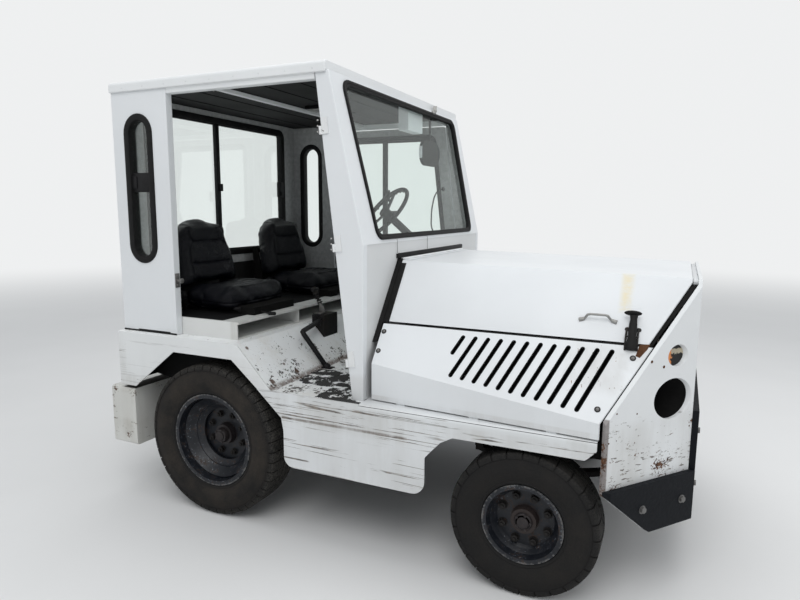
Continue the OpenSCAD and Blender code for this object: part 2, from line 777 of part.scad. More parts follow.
// Left knuckle: clevis on the kingpin, stub axle and steering arm
module knuckle() {
    translate([front_axle_x, kingpin_y, front_r]) {
        cylinder(h = 120, r = kingpin_r, center = true);
        for (z = [-56, 36]) translate([0, 0, z]) linear_extrude(20) {
            circle(r = 27);
            translate([-27, 0]) square([54, 54]);
        }
        box([-27, 36, -56], [27, 54, 56]);
        translate([0, 36, 0]) rotate([-90, 0, 0])
            cylinder(h = front_track_y - kingpin_y - 36 + front_disc + 45, r = spindle_r);
        translate([0, 0, -76]) linear_extrude(20) polygon(slot([0, 0], [-arm_len, 0], 40));
    }
}
// Tyre on a rim; its shoulders may carry notches
module tyre(r, w, seat_r, flange_r, notches) {
    bead = 0.36 * w;
    h = r - seat_r;
    pts = [[seat_r, bead], [flange_r + 1, bead], [seat_r + 0.45 * h, w / 2], [r - 0.16 * h, 0.475 * w], [r, 0.4 * w]];
    rotate([90, 0, 0]) difference() {
        rotate_extrude($fn = 56) polygon(concat(pts, [for (i = [len(pts) - 1:-1:0]) [pts[i][0], -pts[i][1]]]));
        if (notches > 0)
            for (i = [0:notches - 1], side = [-1, 1]) rotate([0, 0, (i + 0.5) * 360 / notches])
                translate([r - 9, side * -5, side * 0.45 * w - 0.08 * w]) mirror([0, side < 0 ? 1 : 0, 0])
                    cube([20, 10, 0.16 * w]);
    }
}
// Rim, disc and hub in one revolved profile: +Z is outboard before it is turned
module rim(flange_r, w, seat_r, disc_r, disc) {
    hw = 0.36 * w + fit;
    bore = spindle_r + run_gap;
    dish = seat_r - 12;
    rotate([-90, 0, 0]) rotate_extrude($fn = 96) polygon([[flange_r, -hw - 8], [flange_r, -hw], [seat_r - fit, -hw],
        [seat_r - fit, hw], [flange_r, hw], [flange_r, hw + 8], [seat_r - 6, hw + 8], [dish, disc + 32],
        [disc_r + 10, disc + 12], [disc_r, disc], [hub_r, disc], [hub_r - 4, disc + 35], [bore, disc + 35],
        [bore, disc - 30], [hub_r, disc - 30], [hub_r, disc - 10], [disc_r + 4, disc - 10], [disc_r + 16, disc + 2],
        [dish, disc + 20], [dish, -hw - 8]]);
}
module left_front() {
    translate([front_axle_x, front_track_y, front_r]) children();
}
module left_rear() {
    translate([rear_axle_x, rear_track_y, rear_r]) children();
}
module front_tyre() {
    color("#202020") left_front() tyre(front_r, front_w, front_seat_r, front_rim_r, notch_count);
}
module rear_tyre() {
    color("#202020") left_rear() tyre(rear_r, rear_w, rear_seat_r, rear_rim_r, 0);
}
module front_rim() {
    color("#303030") left_front() rim(front_rim_r, front_w, front_seat_r, front_disc_r, front_disc);
}
module rear_rim() {
    color("#303030") left_rear() rim(rear_rim_r, rear_w, rear_seat_r, rear_disc_r, rear_disc);
}

module rear_axle() {
    axle_y = wall_y - 45;
    color("#303030") {
        box([rear_axle_x - 55, -axle_y, rear_r - 55], [rear_axle_x + 55, axle_y, rear_r + 55]);
        translate([rear_axle_x, 0, rear_r]) rotate([0, 90, 0]) cylinder(h = 300, r = 145, center = true);
        both_sides() {
            box([rear_axle_x - 55, -rail_y, rear_r + 55], [rear_axle_x + 55, rail_w - rail_y, rail_z]);
            translate([rear_axle_x, -axle_y, rear_r]) rotate([90, 0, 0]) {
                cylinder(h = 60, r = 60);
                cylinder(h = rear_track_y - axle_y + rear_disc + 45, r = spindle_r);
            }
        }
    }
}

module springs() {
    color("#303030") both_sides() across(-rail_y + 4, rail_w - rail_y - 4) {
        // Leaf pack bowed from hanger to hanger over the axle
        n = 12;
        pack = 24;
        foot = front_r + 30;
        eye_z = rail_z - hanger_h;
        bow = eye_z - foot - pack;
        pts = [for (i = [0:n]) let (t = 2 * i / n - 1) [front_axle_x + t * spring_half, foot + bow * t * t]];
        polygon(concat(pts, [for (i = [n:-1:0]) [pts[i][0], pts[i][1] + pack]]));
        // Clamp on the axle and blocks in the hangers
        translate([front_axle_x - 45, foot]) square([90, pack + 12]);
        for (side = [-1, 1]) translate([front_axle_x + side * spring_half - 18, eye_z - pack]) square([36, pack]);
    }
}

// Oval mirror on its arm, and the wiper motor's box, under the front of the roof
module header_fittings() {
    mirror_c = [490, roof_z - 280];
    back = screen_x(roof_under) - 41;
    color("#303030") {
        along(back - 30, back - 12) polygon(slot(mirror_c - [75, 0], mirror_c + [75, 0], 150));
        bar([back - 21, mirror_c[0], mirror_c[1] + 70], [back - 21, mirror_c[0], roof_under], 7);
        box([back - 60, 115, roof_under - 140], [back, 320, roof_under]);
    }
}

// Places children at a door hinge: +Z runs up the leaning axis, +X is forward
module at_hinge(z) {
    translate([pillar_x(z), cab_y + barrel_off, z]) rotate([0, -atan(pillar_lean), 0]) children();
}
// One hinge leaf on the face behind the barrel, with one half of the barrel;
// it is let into that face by the last value
module leaf(width, z0, z1, sink) {
    rotate([90, 0, 0]) {
        translate([0, 0, barrel_off - leaf_t]) linear_extrude(leaf_t + sink)
            translate([barrel_r + 2, -leaf_h]) square([width, 2 * leaf_h]);
        translate([0, 0, barrel_off - leaf_t]) linear_extrude(leaf_t - 1)
            translate([0, z0]) square([barrel_r + 4, z1 - z0]);
    }
    translate([0, 0, z0]) cylinder(h = z1 - z0, r = barrel_r, $fn = 32);
}
// Leaves on both pillars, of which the right ones have lost their door, and the
// fixed leaf of the hood's hinge, an angle on the firewall
module hinge_leaves() {
    color("white") {
        both_sides() for (z = hinge_zs) at_hinge(z) leaf(28, -leaf_h, 0, 0);
        leaf_z = hinge_z + 2;
        box([fire_x, -hinge_half, leaf_z], [hood_x - 8, hinge_half, leaf_z + hinge_leaf_t]);
        box([fire_x, -hinge_half, leaf_z], [fire_x + 3, hinge_half, leaf_z + 28]);
        hinge_knuckles(0) box([-8, 0, 2], [0, knuckle_len, 2 + hinge_leaf_t]);
    }
}

module left_door() {
    g = door_gap;
    head = roof_under - header_h - g;
    color("white") {
        difference() {
            across(inner_y + 5, cab_y) polygon(rounded([[post_x + g, head, 10], [pillar_x(head) - g, head, 10],
                [pillar_x(sill_z + g) - g, sill_z + g, 10], [heel_x + 4, sill_z + g, 10],
                [heel_top_x + 4, deck_z + g, 10], [post_x + g, deck_z + g, 10]]));
            across(0, 1000) polygon(door_window(0));
        }
        for (z = hinge_zs) at_hinge(z) mirror([1, 0, 0]) leaf(34, fit, leaf_h, 2);
        // Outer pull handle
        for (x = [post_x + 40, post_x + 150]) box([x, cab_y, 1180], [x + 14, cab_y + 28, 1204]);
        box([post_x + 40, cab_y + 28, 1180], [post_x + 164, cab_y + 38, 1204]);
    }
}
function door_window(d) = let (x0 = post_x + 80 + d, z0 = window_z + d, z1 = door_top - d)
    rounded([[x0, z0, 50], [pillar_x(window_z) - 90 - d, z0, 50], [pillar_x(door_top) - 90 - d, z1, 50], [x0, z1, 50]]);
module door_glass() {
    color("lightblue", 0.4) across(inner_y + 14, inner_y + 14 + glass_t) polygon(door_window(fit));
}

module tie_rod() {
    z = front_r - 76;
    color("#303030") {
        bar([front_axle_x - arm_len, kingpin_y - 30, z - 14], [front_axle_x - arm_len, 30 - kingpin_y, z - 14], 13);
        both_sides() translate([front_axle_x - arm_len, -kingpin_y, z - 30]) cylinder(h = 30 - fit, r = 22);
        both_sides() box([front_axle_x - arm_len - 10, -kingpin_y, z - 24],
            [front_axle_x - arm_len + 10, 32 - kingpin_y, z - 4]);
    }
}

frame();
bearers();
counterweight();
hitch();
nose();
bumper_pads();
lamps();
lamp_shells();
side_panels();
sills();
fenders();
deck();
seat_box();
firewall();
hood_seal();
cab_rear();
cab_posts();
cab_front();
roof();
windscreen();
cab_glass();
seat_cushions();
seat_backs();
seat_slides();
dashboard();
steering_column();
controls();
engine();
front_axle();
rear_axle();
springs();
header_fittings();
hinge_leaves();
hood_lid();
hood_fittings();
left_door();
door_glass();
color("#303030") knuckle();  // knuckle_left
color("#303030") mirror([0, 1, 0]) knuckle();  // knuckle_right
tie_rod();
steering_wheel();
front_tyre();  // tyre_front_left
mirror([0, 1, 0]) front_tyre();  // tyre_front_right
rear_tyre();  // tyre_rear_left
mirror([0, 1, 0]) rear_tyre();  // tyre_rear_right
front_rim();  // rim_front_left
mirror([0, 1, 0]) front_rim();  // rim_front_right
rear_rim();  // rim_rear_left
mirror([0, 1, 0]) rear_rim();  // rim_rear_right
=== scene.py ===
"""Looks of a worn airport baggage tug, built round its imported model.

Lengths are in metres. +X is forward, +Z up, and the right-hand side is -Y.
"""
import logging
from dataclasses import dataclass, field
from enum import Enum
from functools import partial
from math import acos, atan2, cos, exp, hypot, pi, radians, sin, sqrt, tan, tau
from typing import Any, Iterable, Protocol, Sequence

import bmesh
import bpy
import numpy as np
from bpy.types import Material, Mesh, Object
from mathutils import Matrix, Vector


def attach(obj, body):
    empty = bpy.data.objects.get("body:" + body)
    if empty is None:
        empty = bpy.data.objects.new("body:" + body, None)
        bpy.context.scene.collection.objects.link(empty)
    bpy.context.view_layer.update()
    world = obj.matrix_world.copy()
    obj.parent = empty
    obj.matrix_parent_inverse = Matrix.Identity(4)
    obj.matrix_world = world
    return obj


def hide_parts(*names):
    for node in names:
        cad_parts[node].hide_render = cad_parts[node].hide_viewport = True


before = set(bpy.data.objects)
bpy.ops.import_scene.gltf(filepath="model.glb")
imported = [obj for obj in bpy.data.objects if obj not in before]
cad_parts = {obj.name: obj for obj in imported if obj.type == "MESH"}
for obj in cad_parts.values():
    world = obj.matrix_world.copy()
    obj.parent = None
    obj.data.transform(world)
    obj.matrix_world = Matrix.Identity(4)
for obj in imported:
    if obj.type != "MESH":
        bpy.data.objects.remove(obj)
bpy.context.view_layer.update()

LOG = logging.getLogger("tug")
Point = tuple[float, float, float]
Pair = tuple[float, float]
Profile = tuple[Pair, ...]

# Places that several pieces share, as the model has them
HALF_W = 0.85
SILL_Z = 0.706
HOOD_TOP_Y = 0.45
HOOD_TOP_Z = 1.3
SLOPE = radians(53)
CORNER_X = 1.178
NOSE_X = 1.47
FRONT_Y = 0.48
CORNER_A = atan2(HALF_W - 0.002 - FRONT_Y, NOSE_X - CORNER_X)
BELT = (0.154, 1.397)
SCREEN_LEAN = 0.2225
FRONT_WHEEL = (0.879, 0.7575, 0.305)
REAR_WHEEL = (-0.705, 0.742, 0.39)
WHEEL_C = (-0.32, 0.385, 1.528)
STEERING_AXIS = (-0.766, 0.0, 0.643)
REAR_WALL_X = -1.3
SIDES = (-1, 1)
HANDS = ((-1, "right"), (1, "left"))

# How the meshes are made
BEVEL_SEGMENTS = 2
SMOOTH_ANGLE = radians(35)
FULL_TURN_GAP = 1e-6
WELD_GAP = 0.00002
FLAT_ANGLE = radians(0.5)
BEVEL_FROM = radians(30)
SOFT_EDGE = 0.002
ROUND_EDGE = 0.004
WASHER_HEIGHT = 0.002


# ---------------------------------------------------------------- shader maths
class Sock:
    """A shader socket that takes part in Python expressions."""

    def __init__(self, graph: "Graph", socket: bpy.types.NodeSocket) -> None:
        """Keeps the socket and the graph that it belongs to."""
        self.graph = graph
        self.socket = socket

    def __add__(self, other: "Value") -> "Sock":
        """Sum of two values."""
        return self.graph.math("ADD", self, other)

    def __sub__(self, other: "Value") -> "Sock":
        """Difference of two values."""
        return self.graph.math("SUBTRACT", self, other)

    def __rsub__(self, other: "Value") -> "Sock":
        """Difference with the socket on the right."""
        return self.graph.math("SUBTRACT", other, self)

    def __mul__(self, other: "Value") -> "Sock":
        """Product of two values."""
        return self.graph.math("MULTIPLY", self, other)

    def __abs__(self) -> "Sock":
        """Size without its sign."""
        return self.graph.math("ABSOLUTE", self)

    __radd__, __rmul__ = __add__, __mul__


Value = Sock | float


class Graph:
    """The node tree of one material, with short ways to add its nodes."""

    def __init__(self, name: str) -> None:
        """Starts an empty material with an output node.

        Args:
            name: The material's name.
        """
        self.material = bpy.data.materials.new(name)
        self.material.use_nodes = True
        self.tree = self.material.node_tree
        self.tree.nodes.clear()
        self.output = self.tree.nodes.new("ShaderNodeOutputMaterial")
        self.place = self.add("ShaderNodeTexCoord", out="Object")

    def add(self, kind: str, settings: dict[str, Any] | None = None,
            values: dict[Any, Any] | None = None, out: Any = 0) -> Sock:
        """Adds one node.

        Args:
            kind: The node's type.
            settings: Its settings, set before its sockets are used.
            values: Numbers, tuples or Socks for its inputs, by name or index.
            out: The output to return, by name or index.

        Returns:
            The wanted output.
        """
        node = self.tree.nodes.new(kind)
        for key, value in (settings or {}).items():
            setattr(node, key, value)
        for key, value in (values or {}).items():
            target = node.inputs[key]
            if isinstance(value, Sock):
                self.tree.links.new(value.socket, target)
            else:
                target.default_value = (*value, 1) if target.type == "RGBA" else value
        return Sock(self, node.outputs[out])

    def math(self, operation: str, *values: Value) -> Sock:
        """One Math node."""
        return self.add("ShaderNodeMath", {"operation": operation}, dict(enumerate(values)))

    def vector(self, operation: str, *values: Any, out: Any = 0) -> Sock:
        """One Vector Math node."""
        return self.add("ShaderNodeVectorMath", {"operation": operation}, dict(enumerate(values)), out)

    def axis(self, name: str, vector: Sock | None = None) -> Sock:
        """One coordinate of a vector, the place on the piece unless another is given."""
        return self.add("ShaderNodeSeparateXYZ", None, {0: vector or self.place}, name)

    def step(self, value: Value, low: float, high: float) -> Sock:
        """Smooth rise from 0 to 1 as a value goes from low to high, or a fall when low is above high."""
        return self.add("ShaderNodeMapRange", {"interpolation_type": "SMOOTHSTEP"},
                        {"Value": value, "From Min": low, "From Max": high})

    def noise(self, scale: float, detail: float = 3, rough: float = 0.5, vector: Sock | None = None,
              stretch: Point | None = None, distort: float = 0) -> Sock:
        """Noise from 0 to 1, on the place on the piece unless another vector is given."""
        where = vector or self.place
        if stretch:
            where = self.vector("MULTIPLY", where, stretch)
        return self.add("ShaderNodeTexNoise", None, {"Vector": where, "Scale": scale, "Detail": detail,
                                                     "Roughness": rough, "Distortion": distort}, "Fac")

    def mix(self, factor: Value, low: Any, high: Any) -> Sock:
        """Colour between two colours."""
        return self.add("ShaderNodeMix", {"data_type": "RGBA"}, {0: factor, 6: low, 7: high}, 2)

    def most(self, *values: Value) -> Value:
        """The greatest of several values."""
        found = values[0]
        for value in values[1:]:
            found = self.math("MAXIMUM", found, value)
        return found

    def zone(self, low: Point, high: Point, soft: float, where: Sock | None = None) -> Sock:
        """1 inside a box and 0 outside it, with a soft border.

        Args:
            low: Lowest corner.
            high: Highest corner.
            soft: Width of the border.
            where: The vector looked at, the place on the piece unless given.

        Returns:
            The mask.
        """
        centre = tuple((a + b) / 2 for a, b in zip(low, high))
        half = tuple((b - a) / 2 for a, b in zip(low, high))
        apart = self.vector("ABSOLUTE", self.vector("SUBTRACT", where or self.place, centre))
        away = self.vector("SUBTRACT", apart, half)
        return self.step(self.most(*(self.axis(name, away) for name in "XYZ")), soft, 0)

    def away(self, centre: Point) -> Sock:
        """Distance from a line along Y."""
        flat = self.vector("MULTIPLY", self.vector("SUBTRACT", self.place, centre), (1, 0, 1))
        return self.vector("LENGTH", flat, out="Value")

    def bump(self, height: Value, depth: float) -> Sock:
        """Normal for a height in 0..1 that stands for a depth in metres."""
        return self.add("ShaderNodeBump", None, {"Strength": 1, "Distance": depth, "Height": height})

    def surface(self, values: dict[str, Any]) -> Material:
        """Ends the material in one principled shader with these inputs."""
        return self.shade(self.add("ShaderNodeBsdfPrincipled", None, values))

    def shade(self, shader: Sock) -> Material:
        """Ends the material in the given shader."""
        self.tree.links.new(shader.socket, self.output.inputs["Surface"])
        return self.material


# ------------------------------------------------------------------- finishes
class Slot(Enum):
    """Material slots of the record."""

    WHITE = "white_paint"
    CHASSIS = "chassis_black"
    RUBBER = "rubber"
    TYRE = "tyre"
    RIM = "rim_black"
    VINYL = "vinyl"
    PLASTIC = "black_plastic"
    AMBER = "amber"
    IRON = "iron"


class Finish(Protocol):
    """What every finish has: a name and a material."""

    name: str

    def material(self) -> Material:
        """Builds the material."""


@dataclass(frozen=True)
class Wear:
    """A box in which the paint is worn, soft being the width of its border.

    chips is the share of bare spots, rust how brown they are, scratch the
    share of long scratches, and grime the darkening. They are given in that
    order.
    """

    low: Point
    high: Point
    soft: float = 0.03
    chips: float = 0.0
    rust: float = 0.5
    scratch: float = 0.0
    grime: float = 0.0


# Painted shade: near black for the wheel houses and low behind the seats, grey for the cab's inner faces. The
# near black is also the real black of the roof's liner and the header.
BLACK_AND_SHADE = (0.006, 0.006, 0.006)
INSIDE_SHADE = (0.36, 0.365, 0.365)
RUST = (0.13, 0.058, 0.027)
RUST_DARK = (0.045, 0.022, 0.014)
GRIME = (0.3, 0.27, 0.22)
AREA_EDGE = 0.0006


@dataclass(frozen=True)
class WhitePaint:
    """White paint, hand-brushed in places, with chips, scratches, rust and grime where it is worn.

    chips is the share of bare spots all over. areas are boxes painted in a
    colour of their own, most of them painted shade on inner and lower faces,
    and the leaning box is painted shade that leans with the windscreen.
    stain is a box with a run of stain_colour. stroke stretches the brush
    marks, and drawn is the strength of thin long scratches.
    """

    name: str
    zones: tuple[Wear, ...] = ()
    colour: Point = (0.745, 0.765, 0.78)
    chips: float = 0.0
    stain: tuple[Point, Point] | None = None
    areas: tuple[tuple[Point, Point, Point], ...] = ()
    rough: float = 0.34
    stroke: Point = (0.1, 1, 4.6)
    stroke_scale: float = 30.0
    stain_colour: Point = (0.76, 0.65, 0.38)
    leaning_shade: tuple[Point, Point, Point] | None = None
    drawn: float = 0.0
    stain_soft: float = 0.03
    stain_from: float = 0.38
    scratch_tone: Point = (0.2, 0.165, 0.13)

    def material(self) -> Material:
        """Builds the material."""
        g = Graph(self.name)
        broad, fine, spots = g.noise(2.2, 4, 0.55), g.noise(38, 4, 0.6), g.noise(120, 5, 0.65)
        flow = g.noise(14, 4, 0.6, stretch=(1, 1, 0.16))
        lines = g.noise(self.stroke_scale, 7, 0.66, stretch=self.stroke, distort=0.15)
        chips, scratches, rusty, grime = self._wear(g, spots, lines)
        dirt = g.math("MULTIPLY", grime, g.step(flow * 0.6 + broad * 0.7, 0.45, 0.85))
        tone = g.mix(g.step(broad, 0.3, 0.7), self.colour, tuple(c * 0.955 for c in self.colour))
        paint = g.mix(dirt, tone, GRIME)
        paint = g.mix(g.step(g.noise(170, 2, 0.7), 0.66, 0.74) * 0.1, paint, (0.35, 0.33, 0.3))
        if self.stain:
            run = g.step(flow * 0.6 + fine * 0.4 + lines * 0.3, self.stain_from, self.stain_from + 0.4)
            paint = g.mix(g.zone(*self.stain, self.stain_soft) * run * 0.7, paint, self.stain_colour)
        halo = g.step(fine, 0.35, 0.65)
        paint = g.mix(scratches * 0.85, paint, g.mix(halo, self.scratch_tone, (0.045, 0.035, 0.028)))
        bare = g.mix(rusty, (0.1, 0.095, 0.09), g.mix(g.step(fine, 0.4, 0.6), RUST, RUST_DARK))
        colour = g.mix(chips, paint, bare)
        worn = g.most(chips, scratches * 0.6)
        # Painted shade: the leaning box and the areas paint inner and lower faces darker, as shaded; a few
        # areas are black faces or dirt instead.
        if self.leaning_shade:
            height = g.most(g.axis("Z") - BELT[1], 0.0)
            forward = g.add("ShaderNodeCombineXYZ", None, {0: height * SCREEN_LEAN})
            inside = g.zone(*self.leaning_shade[:2], AREA_EDGE, g.vector("ADD", g.place, forward))
            colour = g.mix(inside, colour, g.mix(halo, *self._two_tones(self.leaning_shade[2])))
        for lowest, highest, own in self.areas:
            inside = g.zone(lowest, highest, AREA_EDGE)
            colour = g.mix(inside, colour, g.mix(halo, *self._two_tones(own)))
            worn = g.most(worn, inside)
        rough = g.step(broad, 0.2, 0.8) * 0.12 + self.rough + worn * 0.35 + dirt * 0.3
        normal = g.bump(broad * 0.5 + g.noise(300, 2, 0.5) * 0.012 - worn * 0.05, 0.006)
        return g.surface({"Base Color": colour, "Roughness": rough, "Normal": normal,
                          "Coat Weight": (1 - worn) * 0.1, "Coat Roughness": 0.2, "Specular IOR Level": 0.3})

    @staticmethod
    def _two_tones(colour: Point) -> tuple[Point, Point]:
        """A colour and its lighter neighbour."""
        return colour, tuple(c * 1.25 for c in colour)

    def _wear(self, g: Graph, spots: Sock, lines: Sock) -> tuple[Value, Value, Value, Value]:
        """Masks of the worn boxes.

        Args:
            g: The material's graph.
            spots: Noise that the chips follow.
            lines: Noise that the broad scratches follow.

        Returns:
            The masks of chips, scratches, rust and grime.
        """
        drawn = abs(g.noise(20, 2, 0.5, stretch=(0.03, 1, 1.9), distort=0.05) - 0.5)
        broken = g.noise(6.5, 4, 0.62, stretch=(0.35, 1, 3.2))
        cluster = g.noise(9, 3, 0.6)
        limit = 1.16 - self.chips * 0.3
        chips: Value = g.step(spots + cluster * 0.6, limit, limit + 0.04) if self.chips else 0.0
        scratches, rusty, grime = 0.0, 0.4, g.step(g.axis("Z"), 0.95, 0.32) * 0.22
        for zone in self.zones:
            inside = g.zone(zone.low, zone.high, zone.soft)
            if zone.chips:
                limit = 1.3 - 0.5 * zone.chips
                bare = g.step(spots * 0.7 + cluster * 0.8 + inside * 0.12, limit, limit + 0.03)
                chips = g.most(chips, bare * g.step(inside, 0.05, 0.5))
                rusty = g.most(rusty, inside * zone.rust)
            if zone.scratch:
                edge, gap = 0.735 - 0.13 * zone.scratch, 0.6 - 0.14 * zone.scratch
                thin = g.step(drawn, 0.024, 0.012) * g.step(broken, gap, gap + 0.06) * self.drawn
                scratches = g.most(scratches, g.most(g.step(lines, edge, edge + 0.02), thin) * inside)
            if zone.grime:
                grime = g.most(grime, inside * zone.grime)
        return chips, scratches, rusty, grime


@dataclass(frozen=True)
class Coated:
    """A dark coated, moulded or cast surface with dust, wear and a grain."""

    name: str
    colour: Point
    rough: float = 0.5
    dust: float = 0.25
    dust_colour: Point = (0.22, 0.2, 0.17)
    rust: float = 0.0
    grain: float = 220.0
    depth: float = 0.0006
    metallic: float = 0.0
    coat: float = 0.0
    specular: float = 0.12

    def material(self) -> Material:
        """Builds the material."""
        g = Graph(self.name)
        broad = g.noise(6, 4, 0.6)
        fine = g.noise(self.grain, 3, 0.55)
        mottle = g.noise(34, 5, 0.65)
        tone = g.mix(mottle, tuple(c * 0.75 for c in self.colour), tuple(c * 1.3 for c in self.colour))
        up = g.add("ShaderNodeNewGeometry", out="Normal")
        settled = g.step(g.axis("Z", up), -0.2, 1.0) * 0.6 + 0.4
        dusty = settled * g.step(broad * 0.6 + mottle * 0.5, 0.35, 0.8) * self.dust
        colour = g.mix(dusty, tone, self.dust_colour)
        edge = 1.0 - self.rust * 0.4
        rusted: Value = g.step(mottle + broad * 0.5, edge, edge + 0.1) if self.rust else 0.0
        colour = g.mix(rusted * 0.85, colour, g.mix(fine, RUST_DARK, RUST))
        rough = fine * 0.12 + self.rough - 0.06 + dusty * 0.35 + rusted * 0.3
        return g.surface({"Base Color": colour, "Roughness": rough, "Metallic": self.metallic,
                          "Normal": g.bump(fine * 0.7 + mottle * 0.5, self.depth), "Coat Weight": self.coat,
                          "Coat Roughness": 0.2, "Specular IOR Level": self.specular})


@dataclass(frozen=True)
class DeckPaint:
    """Worn grey-white floor paint with scuffs, rust circles and patches of black grip tape; faces that look
    down are painted near black as shade.
    """

    name: str = "deck worn paint"
    patches: tuple[tuple[Point, Point], ...] = ()
    circles: tuple[tuple[float, float, float, float], ...] = ()

    def material(self) -> Material:
        """Builds the material."""
        g = Graph(self.name)
        broad = g.noise(5, 4, 0.6)
        fine = g.noise(60, 5, 0.65)
        spots = g.noise(62, 4, 0.7)
        colour = g.mix(g.step(broad + fine * 0.4, 0.62, 1.05), (0.87, 0.885, 0.89), (0.76, 0.75, 0.72))
        low = g.step(g.axis("Z"), 0.9, 0.71)
        clump = g.noise(11, 3, 0.5)
        speck = g.step(spots + clump * 0.55 + low * 0.1, 0.955, 0.985)
        colour = g.mix(speck * 0.92, colour, g.mix(fine, (0.01, 0.008, 0.007), (0.045, 0.028, 0.017)))
        fold = g.step(abs(g.axis("X") + 0.318), 0.02, 0.004) * g.step(fine + broad * 0.4, 0.5, 0.72)
        colour = g.mix(fold * 0.75, colour, g.mix(fine, RUST_DARK, RUST))
        tape: Value = 0.0
        for lowest, highest in self.patches:
            torn = g.zone(lowest, highest, 0.05) + (g.noise(16, 5, 0.62) - 0.5) * 2.4
            tape = g.most(tape, g.step(torn, 0.8, 0.86))
        tape = tape * g.step(g.axis("Z"), 0.7125, 0.7075) * g.step(g.axis("Z"), 0.7035, 0.705)
        colour = g.mix(tape, colour, g.mix(g.noise(700, 2), (0.01, 0.01, 0.01), (0.035, 0.034, 0.033)))
        for x, y, z, radius in self.circles:
            away = g.vector("DISTANCE", g.place, (x, y, z), out="Value")
            ring = g.step(away + fine * 0.01, radius + 0.01, radius + 0.002)
            colour = g.mix(ring * 0.9, colour, g.mix(fine, RUST_DARK, RUST))
        # Painted shade: faces that look down are painted near black.
        under = g.step(g.axis("Z", g.add("ShaderNodeNewGeometry", out="Normal")), -0.3, -0.6)
        colour = g.mix(under, colour, (0.01, 0.01, 0.01))
        rough = 0.45 + tape * 0.4 + speck * 0.3
        normal = g.bump(fine * 0.3 + tape * g.noise(700, 2) - speck * 0.4, 0.0012)
        return g.surface({"Base Color": colour, "Roughness": rough, "Normal": normal})


@dataclass(frozen=True)
class TyreRubber:
    """Tyre rubber: dusty brown sidewall, worn tread."""

    name: str
    centre: Point
    radius: float
    rim: float
    dust: float = 0.5
    dust_colour: Point = (0.058, 0.048, 0.039)
    tread: float = 0.25

    def material(self) -> Material:
        """Builds the material."""
        g = Graph(self.name)
        away = g.away(self.centre)
        broad = g.noise(7, 4, 0.6)
        fine = g.noise(160, 4, 0.6)
        band = g.step(away, self.rim, self.rim + 0.03) * g.step(away, self.radius - 0.005, self.radius - 0.06)
        rings = g.math("SINE", away * 900) * 0.5 + 0.5
        dusty = band * g.step(broad * 0.8 + fine * 0.3, 0.36, 0.8) * self.dust
        tread = g.step(away, self.radius - 0.03, self.radius) * self.tread
        colour = g.mix(dusty, g.mix(fine, (0.009, 0.009, 0.0095), (0.019, 0.0185, 0.018)), self.dust_colour)
        colour = g.mix(tread * g.step(fine + broad * 0.5, 0.6, 0.9), colour, (0.2, 0.185, 0.16))
        return g.surface({"Base Color": colour, "Roughness": 0.62 + fine * 0.2 + dusty * 0.2,
                          "Normal": g.bump(fine * 0.5 + rings * band * 0.12, 0.0012),
                          "Specular IOR Level": 0.12})


@dataclass(frozen=True)
class RimSteel:
    """Black wheel steel: rusty hub, worn bright edge of the flange, bare nicks tinted as a painted sky
    reflection.
    """

    name: str
    centre: Point
    flange: float
    hub: float
    hub_rust: float = 0.8

    def material(self) -> Material:
        """Builds the material."""
        g = Graph(self.name)
        away = g.away(self.centre)
        fine = g.noise(90, 5, 0.65)
        broad = g.noise(16, 3, 0.6)
        edge = g.step(away, self.flange - 0.01, self.flange - 0.002)
        worn = edge * g.step(fine + broad * 0.4, 0.62, 0.8)
        rusted = g.most(g.step(away, self.hub + 0.012, self.hub - 0.004) * self.hub_rust,
                        g.step(fine + broad, 1.1, 1.22) * 0.8)
        colour = g.mix(g.step(broad, 0.3, 0.7), (0.006, 0.0075, 0.011), (0.012, 0.014, 0.019))
        colour = g.mix(g.step(broad * 0.6 + fine * 0.6, 0.55, 0.9) * 0.25, colour, (0.05, 0.045, 0.04))
        colour = g.mix(rusted, colour, g.mix(fine, (0.018, 0.011, 0.009), (0.055, 0.034, 0.024)))
        colour = g.mix(worn * 0.55, colour, (0.24, 0.235, 0.23))
        # Bare nicks on the dish, tinted bluish grey as a painted reflection of the sky.
        nicks_and_glints = g.step(g.noise(130, 4, 0.7) + broad * 0.25, 0.75, 0.8)
        nicks_and_glints = nicks_and_glints * g.step(away, self.flange * 0.58, self.flange * 0.7)
        colour = g.mix(nicks_and_glints * 0.6, colour, (0.27, 0.3, 0.34))
        return g.surface({"Base Color": colour, "Roughness": 0.34 + fine * 0.15 + rusted * 0.3,
                          "Metallic": worn * 0.5, "Normal": g.bump(fine, 0.0007), "Specular IOR Level": 0.34})


@dataclass(frozen=True)
class Vinyl:
    """Black seat vinyl with a leather grain and a little grey dust in its folds."""

    name: str = "seat vinyl"

    def material(self) -> Material:
        """Builds the material."""
        g = Graph(self.name)
        cells = g.add("ShaderNodeTexVoronoi", {"feature": "DISTANCE_TO_EDGE"},
                      {"Vector": g.place, "Scale": 420}, "Distance")
        crease = g.noise(18, 5, 0.6, distort=0.6)
        broad = g.noise(5, 3, 0.5)
        colour = g.mix(g.step(broad, 0.3, 0.7), (0.0015, 0.0018, 0.0035), (0.003, 0.0035, 0.006))
        dusty = g.step(crease * 0.7 + broad * 0.5, 0.62, 0.9) * 0.07
        colour = g.mix(dusty, colour, (0.12, 0.115, 0.105))
        grain = g.step(cells, 0.0, 0.18)
        return g.surface({"Base Color": colour, "Roughness": 0.2 + dusty * 0.5 + broad * 0.08,
                          "Normal": g.bump(grain * 0.2 + crease * 1.4, 0.0022), "Specular IOR Level": 0.17})


